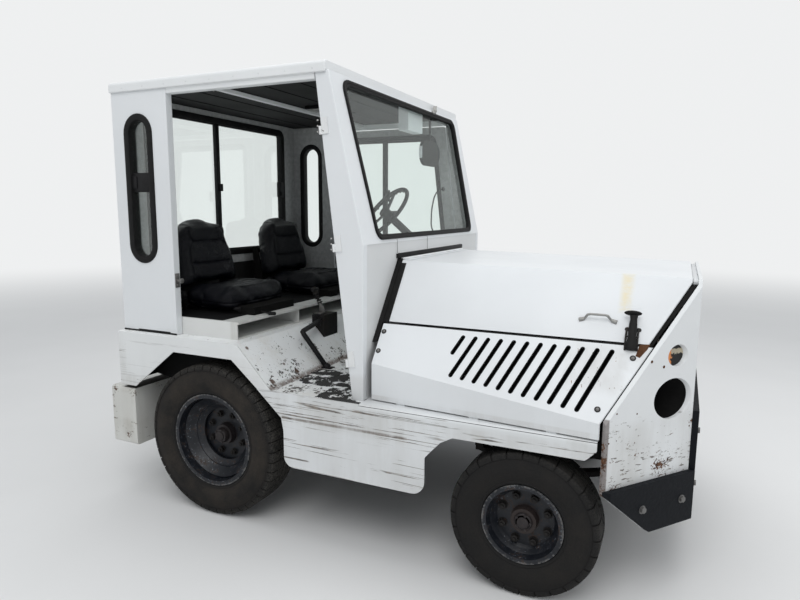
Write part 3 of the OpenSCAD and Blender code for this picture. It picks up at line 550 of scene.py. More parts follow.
@dataclass(frozen=True)
class Glass:
    """Thin clear safety glass with dust and faint smears."""

    name: str
    tint: Point = (0.95, 0.975, 0.965)
    dust: float = 0.025

    def material(self) -> Material:
        """Builds the material."""
        g = Graph(self.name)
        smear = g.noise(4.5, 5, 0.6, stretch=(1, 1, 0.5), distort=0.8)
        specks = g.step(g.noise(210, 3, 0.7), 0.62, 0.72)
        clear = g.add("ShaderNodeBsdfTransparent", None, {"Color": self.tint})
        gloss = g.add("ShaderNodeBsdfGlossy", None, {"Color": (1, 1, 1), "Roughness": 0.03})
        fresnel = g.add("ShaderNodeFresnel", None, {"IOR": 1.45})
        pane = g.add("ShaderNodeMixShader", None, {0: fresnel * 0.14, 1: clear, 2: gloss})
        film = g.add("ShaderNodeBsdfDiffuse", None, {"Color": (0.62, 0.62, 0.6), "Roughness": 0.5})
        dusty = (g.step(smear, 0.42, 0.8) * 0.5 + specks * 0.2 + 0.08) * self.dust
        return g.shade(g.add("ShaderNodeMixShader", None, {0: dusty, 1: pane, 2: film}))


@dataclass(frozen=True)
class BrokenLens:
    """What is left of an indicator: a slice of amber lens, a pale reflector and a dark hollow."""

    name: str = "broken indicator"
    edge_y: float = 0.574
    band: Pair = (1.004, 1.02)

    def material(self) -> Material:
        """Builds the material."""
        g = Graph(self.name)
        fine = g.noise(70, 4, 0.6)
        wave = (fine - 0.5) * 0.03
        height = g.axis("Z") + wave
        low, high = self.band
        pale = g.step(height, low - 0.003, low) * g.step(height, high + 0.003, high)
        inner = g.mix(pale, (0.006, 0.006, 0.006), g.mix(fine, (0.34, 0.3, 0.22), (0.5, 0.45, 0.34)))
        amber = g.step(abs(g.axis("Y")) + wave, self.edge_y - 0.002, self.edge_y + 0.002)
        ribs = g.math("SINE", g.axis("Z") * 1500) * 0.5 + 0.5
        colour = g.mix(amber, inner, g.mix(fine, (0.62, 0.17, 0.035), (0.8, 0.34, 0.1)))
        return g.surface({"Base Color": colour, "Roughness": 0.55 - amber * 0.3,
                          "Normal": g.bump(ribs * amber + fine * 0.5, 0.0008), "Specular IOR Level": 0.3})


@dataclass(frozen=True)
class Lens:
    """Moulded lamp lens with fine ribs."""

    name: str
    colour: Point

    def material(self) -> Material:
        """Builds the material."""
        g = Graph(self.name)
        ribs = g.math("SINE", g.axis("Y") * 1300) * 0.5 + 0.5
        cross = g.math("SINE", g.axis("Z") * 1300) * 0.5 + 0.5
        fine = g.noise(60, 4, 0.6)
        colour = g.mix(g.step(fine, 0.3, 0.8) * 0.4, self.colour, tuple(c * 0.45 for c in self.colour))
        return g.surface({"Base Color": colour, "Roughness": 0.18 + fine * 0.1, "Coat Weight": 0.5,
                          "Normal": g.bump(ribs * cross, 0.0008), "Subsurface Weight": 0.15})


# ------------------------------------------------------------------ mesh making
class Shape:
    """A mesh under construction, in metres and in the vehicle's frame."""

    def __init__(self) -> None:
        """Starts with nothing."""
        self.bm = bmesh.new()

    def _bevel(self, edges: Iterable[Any], width: float) -> None:
        """Rounds edges."""
        bmesh.ops.bevel(self.bm, geom=list(edges), offset=width, offset_type="OFFSET", affect="EDGES",
                        segments=BEVEL_SEGMENTS, profile=0.5, material=-1, clamp_overlap=True)

    def _fresh(self, before: set[Any]) -> list[Any]:
        """The vertices that came since."""
        return [v for v in self.bm.verts if v not in before]

    def block(self, low: Point, high: Point, radius: float = 0.0, place: Matrix | None = None) -> "Shape":
        """Adds a box with rounded edges.

        Args:
            low: Lowest corner.
            high: Highest corner.
            radius: Radius of its edges.
            place: Turn and shift applied to it at the end.

        Returns:
            The shape itself.
        """
        size, middle = Vector(high) - Vector(low), (Vector(high) + Vector(low)) / 2
        before = set(self.bm.verts)
        scaled = Matrix.Translation(middle) @ Matrix.Diagonal((*size, 1))
        made = bmesh.ops.create_cube(self.bm, size=1, matrix=scaled)
        if radius:
            self._bevel({e for v in made["verts"] for e in v.link_edges}, radius)
        if place:
            bmesh.ops.transform(self.bm, matrix=place, verts=self._fresh(before))
        return self

    def rod(self, start: Sequence[float], end: Sequence[float], radius: float,
            end_radius: float | None = None, sides: int = 20, edge: float = 0.0) -> "Shape":
        """Adds a round bar or cone between two points.

        Args:
            start: Centre of the first end.
            end: Centre of the other end.
            radius: Radius at the start.
            end_radius: Radius at the end, the same unless given.
            sides: Sides of the circle.
            edge: Rounding of the rims.

        Returns:
            The shape itself.
        """
        a, b = Vector(start), Vector(end)
        turn = (b - a).to_track_quat("Z", "Y").to_matrix().to_4x4()
        place = Matrix.Translation((a + b) / 2) @ turn
        before = set(self.bm.verts)
        last = radius if end_radius is None else end_radius
        bmesh.ops.create_cone(self.bm, cap_ends=True, cap_tris=False, segments=sides, radius1=radius,
                              radius2=last, depth=(b - a).length, matrix=place)
        if edge:
            self._bevel({e for v in self._fresh(before) for e in v.link_edges
                         if any(len(f.verts) > 4 for f in e.link_faces)}, edge)
        return self

    def hexagon(self, centre: Sequence[float], normal: Sequence[float], across: float, height: float,
                washer: float = 0.0) -> "Shape":
        """Adds a hexagon head on a surface, with a washer if its radius is given."""
        c, n = Vector(centre), Vector(normal).normalized()
        if washer:
            self.rod(c, c + n * WASHER_HEIGHT, washer, sides=24)
            c = c + n * WASHER_HEIGHT * 0.75
        return self.rod(c, c + n * height, across / 2 / cos(pi / 6), sides=6, edge=height * 0.12)

    def dome(self, centre: Sequence[float], normal: Sequence[float], radius: float, height: float) -> "Shape":
        """Adds a low round head on a surface."""
        turn = Vector(normal).to_track_quat("Z", "Y").to_matrix().to_4x4()
        place = Matrix.Translation(centre) @ turn @ Matrix.Diagonal((radius, radius, height, 1))
        before = set(self.bm.verts)
        bmesh.ops.create_uvsphere(self.bm, u_segments=18, v_segments=10, radius=1, matrix=place)
        fresh = self._fresh(before)
        geom = [*fresh, *{e for v in fresh for e in v.link_edges}, *{f for v in fresh for f in v.link_faces}]
        sunk = Vector(centre) - Vector(normal).normalized() * 0.001
        cut = bmesh.ops.bisect_plane(self.bm, geom=geom, plane_co=sunk, plane_no=Vector(normal),
                                     clear_inner=True)["geom_cut"]
        bmesh.ops.holes_fill(self.bm, edges=[g for g in cut if isinstance(g, bmesh.types.BMEdge)], sides=0)
        return self

    def revolve(self, profile: Sequence[Pair], centre: Point, steps: int = 64,
                start: float = 0.0, angle: float = tau) -> "Shape":
        """Turns a closed profile round a line along Y.

        Args:
            profile: Points as (radius, distance along Y).
            centre: A point of the axis.
            steps: Steps of the turn.
            start: Angle at which a part turn starts.
            angle: Angle of the turn.

        Returns:
            The shape itself.
        """
        origin = Vector(centre)
        first = Matrix.Rotation(start, 3, "Y")
        verts = [self.bm.verts.new(origin + first @ Vector((r, y, 0))) for r, y in profile]
        face = self.bm.faces.new(verts)
        whole = abs(angle - tau) < FULL_TURN_GAP
        geom = [*verts, *face.edges] if whole else [*verts, *face.edges, face]
        if whole:
            bmesh.ops.delete(self.bm, geom=[face], context="FACES_ONLY")
        bmesh.ops.spin(self.bm, geom=geom, cent=origin, axis=(0, 1, 0), dvec=(0, 0, 0), angle=angle,
                       steps=steps, use_merge=whole, use_duplicate=False)
        return self

    def outline(self, points: Sequence[Sequence[float]], place: Matrix, depth: float, rim: float = 0.0,
                edge: float = 0.0) -> "Shape":
        """Adds a flat plate, or a frame of even width, from an outline.

        Args:
            points: The outline in the plane's own two coordinates.
            place: Where the plane lies; its Z is the plate's thickness.
            depth: Thickness.
            rim: Width of the frame, or 0 for a whole plate.
            edge: Rounding of the edges.

        Returns:
            The shape itself.
        """
        before_f, before_v = set(self.bm.faces), set(self.bm.verts)
        face = self.bm.faces.new([self.bm.verts.new((p[0], p[1], 0)) for p in points])
        face.normal_update()
        if face.normal.z < 0:
            face.normal_flip()
        if rim:
            bmesh.ops.inset_region(self.bm, faces=[face], thickness=rim, use_even_offset=True,
                                   use_boundary=True)
            bmesh.ops.delete(self.bm, geom=[face], context="FACES")
        faces = [f for f in self.bm.faces if f not in before_f]
        made = bmesh.ops.extrude_face_region(self.bm, geom=faces, use_keep_orig=True)
        top = [g for g in made["geom"] if isinstance(g, bmesh.types.BMVert)]
        bmesh.ops.translate(self.bm, verts=top, vec=(0, 0, depth))
        fresh = [f for f in self.bm.faces if f not in before_f]
        bmesh.ops.recalc_face_normals(self.bm, faces=fresh)
        if edge:
            self._bevel({e for f in fresh for e in f.edges if e.calc_face_angle(0) > 1.0}, edge)
        bmesh.ops.transform(self.bm, matrix=place, verts=self._fresh(before_v))
        return self

    def both_sides(self) -> "Shape":
        """Adds the mirror image on the other side of the vehicle."""
        geom = [*self.bm.verts, *self.bm.edges, *self.bm.faces]
        made = bmesh.ops.duplicate(self.bm, geom=geom)["geom"]
        bmesh.ops.scale(self.bm, vec=(1, -1, 1), verts=[g for g in made if isinstance(g, bmesh.types.BMVert)])
        bmesh.ops.reverse_faces(self.bm, faces=[g for g in made if isinstance(g, bmesh.types.BMFace)])
        return self

    def piece(self, name: str, slot: Slot, finish: Finish, body: str = "chassis",
              replaces: Sequence[str] = ()) -> Object:
        """Ends the shape as an object of the scene.

        Args:
            name: The piece's name.
            slot: The record's slot for its finish; not used.
            finish: Its finish.
            body: The body that it rides on.
            replaces: CAD nodes that it stands for.

        Returns:
            The object.
        """
        bmesh.ops.recalc_face_normals(self.bm, faces=self.bm.faces[:])
        for edge in self.bm.edges:
            edge.smooth = edge.calc_face_angle(pi) < SMOOTH_ANGLE
        for found in self.bm.faces:
            found.smooth = True
        mesh = bpy.data.meshes.new(name)
        self.bm.to_mesh(mesh)
        self.bm.free()
        return settle(placed(name, mesh), finish, body, replaces)


def placed(name: str, data: bpy.types.ID) -> Object:
    """A new object of the scene that holds the data."""
    made = bpy.data.objects.new(name, data)
    bpy.context.scene.collection.objects.link(made)
    return made


def settle(made: Object, finish: Finish, body: str = "chassis",
           replaces: Sequence[str] = ()) -> Object:
    """Gives a finished object its material and body, and hides the nodes that it stands for."""
    made.data.materials.clear()
    made.data.materials.append(PALETTE.get(finish))
    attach(made, body)
    if replaces:
        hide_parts(*replaces)
    return made


def tube(name: str, points: Sequence[Sequence[float]], radius: float, finish: Finish,
         sides: int = 8, smooth: bool = True) -> Object:
    """A bent round tube or wire along points.

    Args:
        name: The piece's name.
        points: Points that it passes through.
        radius: Its radius.
        finish: Its finish.
        sides: Fineness of its round section.
        smooth: Whether it bends smoothly between the points.

    Returns:
        The object.
    """
    curve = bpy.data.curves.new(name, "CURVE")
    curve.dimensions = "3D"
    curve.bevel_depth = radius
    curve.bevel_resolution = sides // 4
    curve.use_fill_caps = True
    curve.resolution_u = 8 if smooth else 1
    spline = curve.splines.new("BEZIER" if smooth else "POLY")
    ends = spline.bezier_points if smooth else spline.points
    ends.add(len(points) - 1)
    for end, point in zip(ends, points):
        if smooth:
            end.co = point
            end.handle_left_type = end.handle_right_type = "AUTO"
        else:
            end.co = (*point, 1)
    holder = placed(name, curve)
    mesh = bpy.data.meshes.new_from_object(holder.evaluated_get(bpy.context.evaluated_depsgraph_get()))
    bpy.data.objects.remove(holder)
    for face in mesh.polygons:
        face.use_smooth = True
    return settle(placed(name, mesh), finish)


def rounded(corners: Sequence[Point], steps: int = 6) -> list[Pair]:
    """Outline whose corners are rounded.

    Args:
        corners: Each corner as (x, y, radius).
        steps: Steps of each arc.

    Returns:
        The outline's points.
    """
    found: list[Pair] = []
    count = len(corners)
    for i, (x, y, radius) in enumerate(corners):
        p = Vector((x, y))
        if radius <= 0:
            found.append((x, y))
            continue
        u = (Vector(corners[i - 1][:2]) - p).normalized()
        v = (Vector(corners[(i + 1) % count][:2]) - p).normalized()
        half = acos(max(-1.0, min(1.0, u.dot(v)))) / 2
        centre = p + (u + v).normalized() * radius / sin(half)
        a0 = atan2(*(p + u * radius / tan(half) - centre).yx)
        a1 = atan2(*(p + v * radius / tan(half) - centre).yx)
        turn = (a1 - a0 + 3 * pi) % tau - pi
        angles = [a0 + turn * k / steps for k in range(steps + 1)]
        found += [(centre.x + radius * cos(a), centre.y + radius * sin(a)) for a in angles]
    return found


def stadium(centre: Sequence[float], half: Sequence[float], steps: int = 14) -> list[Pair]:
    """Upright slot outline with round ends.

    Args:
        centre: Its middle.
        half: Half its width and half its height.
        steps: Steps of each end.

    Returns:
        The outline's points.
    """
    r, ends = half[0], []
    for sign, first in ((1, 0), (-1, pi)):
        for k in range(steps + 1):
            a = pi * k / steps + first
            ends.append((centre[0] + r * cos(a), centre[1] + sign * (half[1] - r) + r * sin(a)))
    return ends


def plane(origin: Sequence[float], across: Sequence[float], up: Sequence[float]) -> Matrix:
    """Frame of a plane: its X is across, its Y is up, its Z their cross product."""
    x = Vector(across).normalized()
    y = Vector(up).normalized()
    z = x.cross(y)
    turn = Matrix((x, y, z)).transposed().to_4x4()
    return Matrix.Translation(Vector(origin)) @ turn


def slope_place(x: float, v: float, w: float = 0.0, side: int = -1) -> Vector:
    """Point on the hood's sloped side.

    Args:
        x: Place along the vehicle.
        v: Distance up the slope from the hood's top edge, negative below it.
        w: Height over the surface.
        side: -1 for the right side, 1 for the left.

    Returns:
        The point.
    """
    y = HOOD_TOP_Y - v * cos(SLOPE) + w * sin(SLOPE)
    return Vector((x, side * y, HOOD_TOP_Z + v * sin(SLOPE) + w * cos(SLOPE)))


def corner_place(s: float, z: float, out: float = 0.0, side: int = -1) -> Vector:
    """Point on a corner plate.

    Args:
        s: Distance from its rear end towards the front.
        z: Height.
        out: Distance in front of its face.
        side: -1 for the right side, 1 for the left.

    Returns:
        The point.
    """
    x = CORNER_X + s * cos(CORNER_A) + out * sin(CORNER_A)
    y = HALF_W - 0.002 - s * sin(CORNER_A) + out * cos(CORNER_A)
    return Vector((x, side * y, z))


SLOPE_N = {side: Vector((0, side * sin(SLOPE), cos(SLOPE))) for side in SIDES}
CORNER_N = {side: Vector((sin(CORNER_A), side * cos(CORNER_A), 0)) for side in SIDES}


# ------------------------------------------------------------------- the palette
@dataclass
class Palette:
    """All materials, each made once."""

    made: dict[str, Material] = field(default_factory=dict)

    def get(self, finish: Finish) -> Material:
        """The material of a finish, made the first time that it is asked for."""
        if finish.name not in self.made:
            self.made[finish.name] = finish.material()
        return self.made[finish.name]


PALETTE = Palette()
CHASSIS = Coated("chassis black", (0.012, 0.012, 0.012), 0.55, 0.3, (0.1, 0.085, 0.065), rust=0.22)
RUBBER = Coated("black rubber", (0.008, 0.008, 0.0085), 0.55, 0.12, (0.1, 0.095, 0.085),
                grain=140, depth=0.0008)
PAD_RUBBER = Coated("bumper rubber", (0.005, 0.006, 0.008), 0.6, 0.14, (0.03, 0.032, 0.036),
                    grain=70, depth=0.002)
SEAL_RUBBER = Coated("sponge seal", (0.008, 0.008, 0.008), 0.75, 0.12, (0.08, 0.075, 0.07),
                     grain=500, depth=0.0008)
PLASTIC = Coated("black plastic", (0.01, 0.01, 0.011), 0.45, 0.14, (0.09, 0.085, 0.08),
                 grain=600, depth=0.0004, coat=0.05)
SHELL_BLACK = Coated("lamp shell black", (0.004, 0.004, 0.004), 0.8, 0.02, specular=0.1)
# Near black mat: its black stands for the shade under the seats as well as the mat. Also the roof's lining
# trim.
MAT_AND_SHADE = Coated("rubber mat and painted shade", (0.003, 0.003, 0.0035), 0.8, 0.06, (0.022, 0.022, 0.024),
             grain=180, depth=0.0012, specular=0.15)
IRON = Coated("cast iron", (0.035, 0.033, 0.031), 0.6, 0.35, (0.12, 0.1, 0.08),
              rust=0.3, grain=120, depth=0.0018)
ZINC = Coated("zinc plated steel", (0.38, 0.38, 0.37), 0.4, 0.25,
              rust=0.2, grain=260, depth=0.0003, metallic=0.85, specular=0.5)
DULL_STEEL = Coated("dull steel", (0.16, 0.158, 0.155), 0.48, 0.25,
                    rust=0.3, grain=200, metallic=0.7, specular=0.5)
DARK_STEEL = Coated("dark steel", (0.022, 0.021, 0.021), 0.5, 0.2, (0.06, 0.05, 0.042),
                    rust=0.2, grain=150, metallic=0.3)
RUSTY = Coated("rusty steel", (0.1, 0.045, 0.022), 0.8, 0.15, rust=0.9, grain=150, depth=0.0015)
ALLOY = Coated("cast alloy", (0.3, 0.3, 0.29), 0.5, 0.3, (0.14, 0.12, 0.1),
               grain=160, depth=0.0008, metallic=0.6, specular=0.5)
RED = Lens("red lens", (0.5, 0.012, 0.01))
GLASS = Glass("cab glass")
VINYL = Vinyl()


# ------------------------------------------------------------------- sub-assemblies
@dataclass
class PaintedBody:
    """Paint of the CAD nodes: which finish each one gets."""

    sill_wear: tuple[Wear, ...] = (
        Wear((-0.34, -0.87, 0.58), (0.52, -0.84, 0.665), 0.06, 0.3, 0.9, 0.95, 0.3),
        Wear((-0.3, -0.87, 0.585), (0.36, -0.84, 0.605), 0.02, 0.5, 1.0, 1.2, 0.4),
        Wear((-0.26, -0.87, 0.36), (0.47, -0.84, 0.6), 0.06, 0.12, 0.7, 0.5),
        Wear((-0.36, -0.87, 0.66), (0.42, -0.84, 0.715), 0.02, 0.3, 0.8, 0.6, 0.2),
        Wear((0.5, -0.87, 0.62), (1.16, -0.84, 0.67), 0.02, 0.22, 0.5, 0.55, 0.25),
        Wear((1.05, -0.87, 0.62), (1.16, -0.84, 0.7), 0.02, 0.55, 0.8, 0, 0.3),
        Wear((-0.3, 0.84, 0.35), (1.16, 0.87, 0.71), 0.04, 0.28, 0.8, 0.7, 0.25),
    )
    nose_wear: tuple[Wear, ...] = (
        Wear((1.17, -0.87, 0.49), (1.48, -0.44, 0.62), 0.05, 0.6, 0.9, 1.1, 0.3),
        Wear((1.16, -0.87, 0.3), (1.184, -0.83, 0.7), 0.008, 0.85, 1.0),
        Wear((1.18, -0.87, 0.5), (1.25, -0.75, 0.76), 0.03, 0.62, 0.8, 1.0),
        Wear((1.17, -0.87, 0.55), (1.48, -0.44, 0.72), 0.08, 0.47, 0.8, 0.75, 0.25),
        Wear((1.44, -0.52, 0.5), (1.48, -0.46, 0.72), 0.015, 0.6, 0.9, 0.6),
        Wear((1.17, -0.87, 0.8), (1.48, -0.44, 1.05), 0.08, 0.05, 0.5, 0.1),
        Wear((1.17, 0.44, 0.49), (1.48, 0.87, 0.72), 0.05, 0.42, 0.9, 0.9, 0.3),
        Wear((1.4, -0.48, 0.7), (1.48, 0.48, 0.86), 0.05, 0.3, 0.8, 0.6),
    )
    fender_wear: tuple[Wear, ...] = (
        Wear((-1.31, -0.87, 0.595), (-1.12, -0.84, 0.66), 0.02, 0.6, 0.9, 0.9, 0.4),
        Wear((-1.31, -0.87, 0.6), (-1.26, -0.84, 0.9), 0.03, 0.35, 0.7, 0.8, 0.3),
        Wear((-1.31, -0.87, 0.6), (-0.28, -0.84, 0.9), 0.1, 0, 0.5, 0.35),
        Wear((-1.0, -0.87, 0.82), (-0.5, -0.84, 0.86), 0.02, 0.22, 0.5, 0.3),
        Wear((-0.56, -0.87, 0.69), (-0.26, -0.84, 0.83), 0.03, 0.35, 0.5, 0.5, 0.15),
        Wear((-1.31, 0.84, 0.6), (-0.3, 0.87, 0.83), 0.04, 0.28, 0.8, 0.4),
        Wear((-1.31, -0.87, 0.87), (-1.24, -0.8, 0.93), 0.02, 0.35, 0.9),
    )
    weight_wear: tuple[Wear, ...] = (
        Wear((-1.38, -0.87, 0.27), (-1.19, 0.87, 0.4), 0.06, 0.5, 0.8, 0.8, 0.5),
        Wear((-1.38, -0.87, 0.575), (-1.19, 0.87, 0.62), 0.02, 0.66, 0.9, 0.8, 0.3),
        Wear((-1.39, -0.87, 0.27), (-1.345, -0.8, 0.62), 0.02, 0.6, 0.7, 0.9, 0.3),
        Wear((-1.23, -0.87, 0.27), (-1.19, -0.8, 0.62), 0.012, 0.5, 0.7, 0, 0.3),
    )
    panel_wear: tuple[Wear, ...] = (
        Wear((1.02, -0.75, 0.84), (1.2, -0.58, 1.01), 0.04, 0.38, 1.0, 0.85, 0.25),
        Wear((1.2, -0.72, 0.96), (1.3, -0.62, 1.06), 0.02, 0.3, 1.0, 0, 0.3),
        Wear((0.17, -0.87, 0.7), (1.16, -0.74, 0.73), 0.01, 0.1, 0.5, 0, 0.3),
    )

    soft: tuple[str, ...] = ("sills", "nose", "fenders", "counterweight", "hood_lid", "left_door", "cab_rear",
                             "seat_box", "dashboard")
    rounder: tuple[str, ...] = ("bumper_pads", "cab_posts", "roof", "cab_front")

    def build(self) -> None:
        """Puts the finishes on the CAD nodes and rounds the edges of the main forms."""
        for node, finish in {**self._paints(), **self._others()}.items():
            self._coat(node, finish)
        for kind in (FRONT, REAR):
            for sign, side in HANDS:
                steel = f"{kind.end} rim steel"
                finish = RimSteel(steel, kind.middle(sign), kind.flange, RIM_HUB, kind.rim_rust)
                self._coat(f"rim_{kind.end}_{side}", finish)
        for nodes, width in ((self.soft, SOFT_EDGE), (self.rounder, ROUND_EDGE)):
            for node in nodes:
                self._soften(node, width)

    def _paints(self) -> dict[str, WhitePaint]:
        """White paints of the nodes; areas paint shade on inner and lower faces, black on the roof's liner
        and the header, and shade with dirt on the counterweight's top.
        """
        lid = Wear((0.16, -0.8, 1.0), (0.5, -0.5, 1.3), 0.1, 0.05)
        box = Wear((-0.6, -0.8, 0.9), (-0.55, 0.8, 1.0), 0.02, 0.35, 0.8, 0.4, 0.35)
        post = Wear((-1.3, -0.82, 0.9), (-0.92, -0.79, 0.93), 0.01, 0.25, 0.5, 0, 0.1)
        pillar = Wear((0, -0.82, 0.7), (0.17, -0.79, 0.8), 0.04, 0.15, 0.5, 0, 0.2)
        door = Wear((-0.5, 0.75, 0.7), (0.1, 0.82, 0.8), 0.04, 0.2, 0.5, 0, 0.2)
        return {
            # Painted shade: the sills' inner faces round the front wheels are painted near black.
            "sills": WhitePaint(
                "sill paint", self.sill_wear, (0.72, 0.738, 0.748), drawn=1.0,
                stain=((-0.25, -0.87, 0.586), (0.38, -0.84, 0.591)), stain_colour=(0.085, 0.055, 0.03),
                stain_soft=0.007, areas=(((-0.42, -0.8462, 0.34), (1.17, 0.8462, 0.7), BLACK_AND_SHADE),)),
            "nose": WhitePaint(
                "nose paint", self.nose_wear, (0.725, 0.742, 0.75), chips=0.2, stroke=(0.5, 0.5, 2.0),
                stroke_scale=44.0, stain=((1.16, -0.87, 0.49), (1.189, -0.836, 0.86)),
                stain_colour=(0.06, 0.028, 0.018), stain_soft=0.004, stain_from=0.22),
            # Painted shade: the inner walls of the rear wheel houses are painted near black.
            "fenders": WhitePaint(
                "fender paint", self.fender_wear, (0.76, 0.775, 0.775), drawn=0.2,
                stain=((-1.3, -0.87, 0.595), (-1.17, -0.84, 0.611)), stain_colour=(0.06, 0.03, 0.02),
                stain_soft=0.005, stain_from=0.15,
                areas=(((-1.288, -0.846, 0.58), (-0.3, 0.846, 0.8975), BLACK_AND_SHADE),)),
            "header_fittings": WhitePaint(
                "header paint", areas=(((-0.13, 0.35, 1.79), (0.02, 0.66, 2.12), BLACK_AND_SHADE),)),
            # Painted shade and dirt: the counterweight's top is painted dark brown.
            "counterweight": WhitePaint(
                "weight paint", self.weight_wear, (0.64, 0.64, 0.61), chips=0.3, stroke=(0.5, 0.5, 2.0),
                areas=(((-1.285, -0.84, 0.5985), (-1.1, 0.84, 0.62), (0.028, 0.023, 0.018)),)),
            "side_panels": WhitePaint(
                "panel paint", self.panel_wear, stroke=(2.4, 1, 0.45), scratch_tone=(0.3, 0.17, 0.09)),
            "hood_lid": WhitePaint(
                "lid paint", (lid,), (0.755, 0.775, 0.79),
                stain=((1.194, -0.58, 1.17), (1.203, -0.44, 1.275))),
            "seat_box": WhitePaint("seat box paint", (box,), (0.72, 0.725, 0.71)),
            "firewall": WhitePaint("firewall paint", (), (0.66, 0.67, 0.67)),
            # Painted shade: the rear wall's inner face is painted grey, and near black low behind the seats.
            "cab_rear": WhitePaint(
                "rear wall paint", areas=(((-1.264, -0.77, 1.2), (-1.2615, 0.77, 2.14), INSIDE_SHADE),
                                          ((-1.264, -0.77, 0.9), (-1.2615, 0.77, 1.2), BLACK_AND_SHADE))),
            # Painted shade: the posts' inner faces are painted grey.
            "cab_posts": WhitePaint(
                "post paint", (post,), areas=(((-1.28, -0.7665, 0.9), (-0.93, 0.7665, 2.14), INSIDE_SHADE),)),
            # Painted shade: the pillars' inner faces are painted grey, above the belt in a box that leans
            # with the windscreen.
            "cab_front": WhitePaint(
                "pillar paint", (pillar,), areas=(((-0.3, -0.7665, 0.9), (0.131, 0.7665, 1.397), INSIDE_SHADE),),
                leaning_shade=((-0.2, -0.7665, 1.397), (0.15, 0.7665, 2.14), INSIDE_SHADE)),
            "roof": WhitePaint(
                "roof paint", (), (0.76, 0.775, 0.78),
                areas=(((-1.28, -0.775, 2.127), (-0.03, 0.775, 2.1315), BLACK_AND_SHADE),)),
            # Painted shade: the door's inner face is painted grey.
            "left_door": WhitePaint(
                "door paint", (door,), areas=(((-0.95, 0.76, 0.7), (0.1, 0.7712, 2.14), INSIDE_SHADE),)),
            "hinge_leaves": WhitePaint("hinge paint", (), (0.76, 0.77, 0.77), chips=0.5),
        }

    @staticmethod
    def _others() -> dict[str, Finish]:
        """Finishes of the nodes that aren't painted white."""
        deck = DeckPaint(
            patches=(((-0.3, -0.66, 0.6), (-0.05, -0.42, 0.8)), ((-0.07, -0.86, 0.6), (0.14, -0.63, 0.8)),
                     ((-0.25, 0.2, 0.6), (0, 0.7, 0.8))),
            circles=((-0.342, -0.795, 0.733, 0.013), (-0.343, -0.589, 0.735, 0.012),
                     (-0.486, -0.798, 0.883, 0.009), (-0.387, -0.639, 0.778, 0.006)))
        groups = (
            (CHASSIS, "frame bearers controls front_axle rear_axle springs"),
            (CHASSIS, "knuckle_left knuckle_right tie_rod"), (IRON, "hitch engine"),
            (PAD_RUBBER, "bumper_pads"), (BrokenLens(), "lamps"),
            (SHELL_BLACK, "lamp_shells seat_slides"), (SEAL_RUBBER, "hood_seal"),
            (GLASS, "windscreen cab_glass door_glass"), (deck, "deck"),
            (PLASTIC, "dashboard steering_column hood_fittings steering_wheel"))
        return {node: finish for finish, nodes in groups for node in nodes.split()}

    def _coat(self, node: str, finish: Finish) -> None:
        """Gives a CAD node one finish."""
        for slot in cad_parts[node].material_slots:
            slot.material = PALETTE.get(finish)

    def _soften(self, node: str, width: float) -> None:
        """Rounds the edges of a CAD node with modifiers, its mesh left as it is."""
        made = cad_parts[node]
        weld = made.modifiers.new("weld", "WELD")
        weld.merge_threshold = WELD_GAP
        flat = made.modifiers.new("flat", "DECIMATE")
        flat.decimate_type, flat.angle_limit = "DISSOLVE", FLAT_ANGLE
        bevel = made.modifiers.new("edge", "BEVEL")
        bevel.width, bevel.segments = width, BEVEL_SEGMENTS
        bevel.limit_method, bevel.angle_limit = "ANGLE", BEVEL_FROM


@dataclass(frozen=True)
class WheelKind:
    """What the wheels of one axle have in common.

    Radii are from the axle. disc is how far the wheel's face lies outside its
    middle, hub how far the hub stands out of the nuts' ring. rings are turned
    profiles of the dish, as (radius, distance outwards).
    """

    end: str
    centre: Point
    radius: float
    width: float
    seat: float
    flange: float
    lugs: int
    nut_circle: float
    disc: float
    hub: float
    rings: tuple[Profile, ...]
    dust: float
    tread: float
    rim_rust: float
    nuts: int = 8

    def middle(self, sign: int) -> Point:
        """Centre of the left (1) or right (-1) wheel."""
        return (self.centre[0], sign * self.centre[1], self.centre[2])


RIM_HUB = 0.056
FRONT = WheelKind(
    "front", FRONT_WHEEL, radius=0.305, width=0.175, seat=0.153, flange=0.166, lugs=28, nut_circle=0.1,
    disc=0.005, hub=0.01, rings=(((0.152, 0.06), (0.156, 0.06), (0.156, 0.066), (0.152, 0.066)),),
    dust=0.16, tread=0.1, rim_rust=0.55)
REAR = WheelKind(
    "rear", REAR_WHEEL, radius=0.39, width=0.212, seat=0.222, flange=0.238, lugs=46, nut_circle=0.105,
    disc=-0.04, hub=0.026,
    rings=(((0.175, -0.01), (0.21, 0.03), (0.212, 0.044),
            (0.206, 0.047), (0.198, 0.036), (0.17, 0.004)),
           ((0.14, -0.03), (0.172, -0.014), (0.172, 0.003),
            (0.164, 0.006), (0.156, -0.004), (0.138, -0.018))),
    dust=0.62, tread=0.24, rim_rust=0.3)


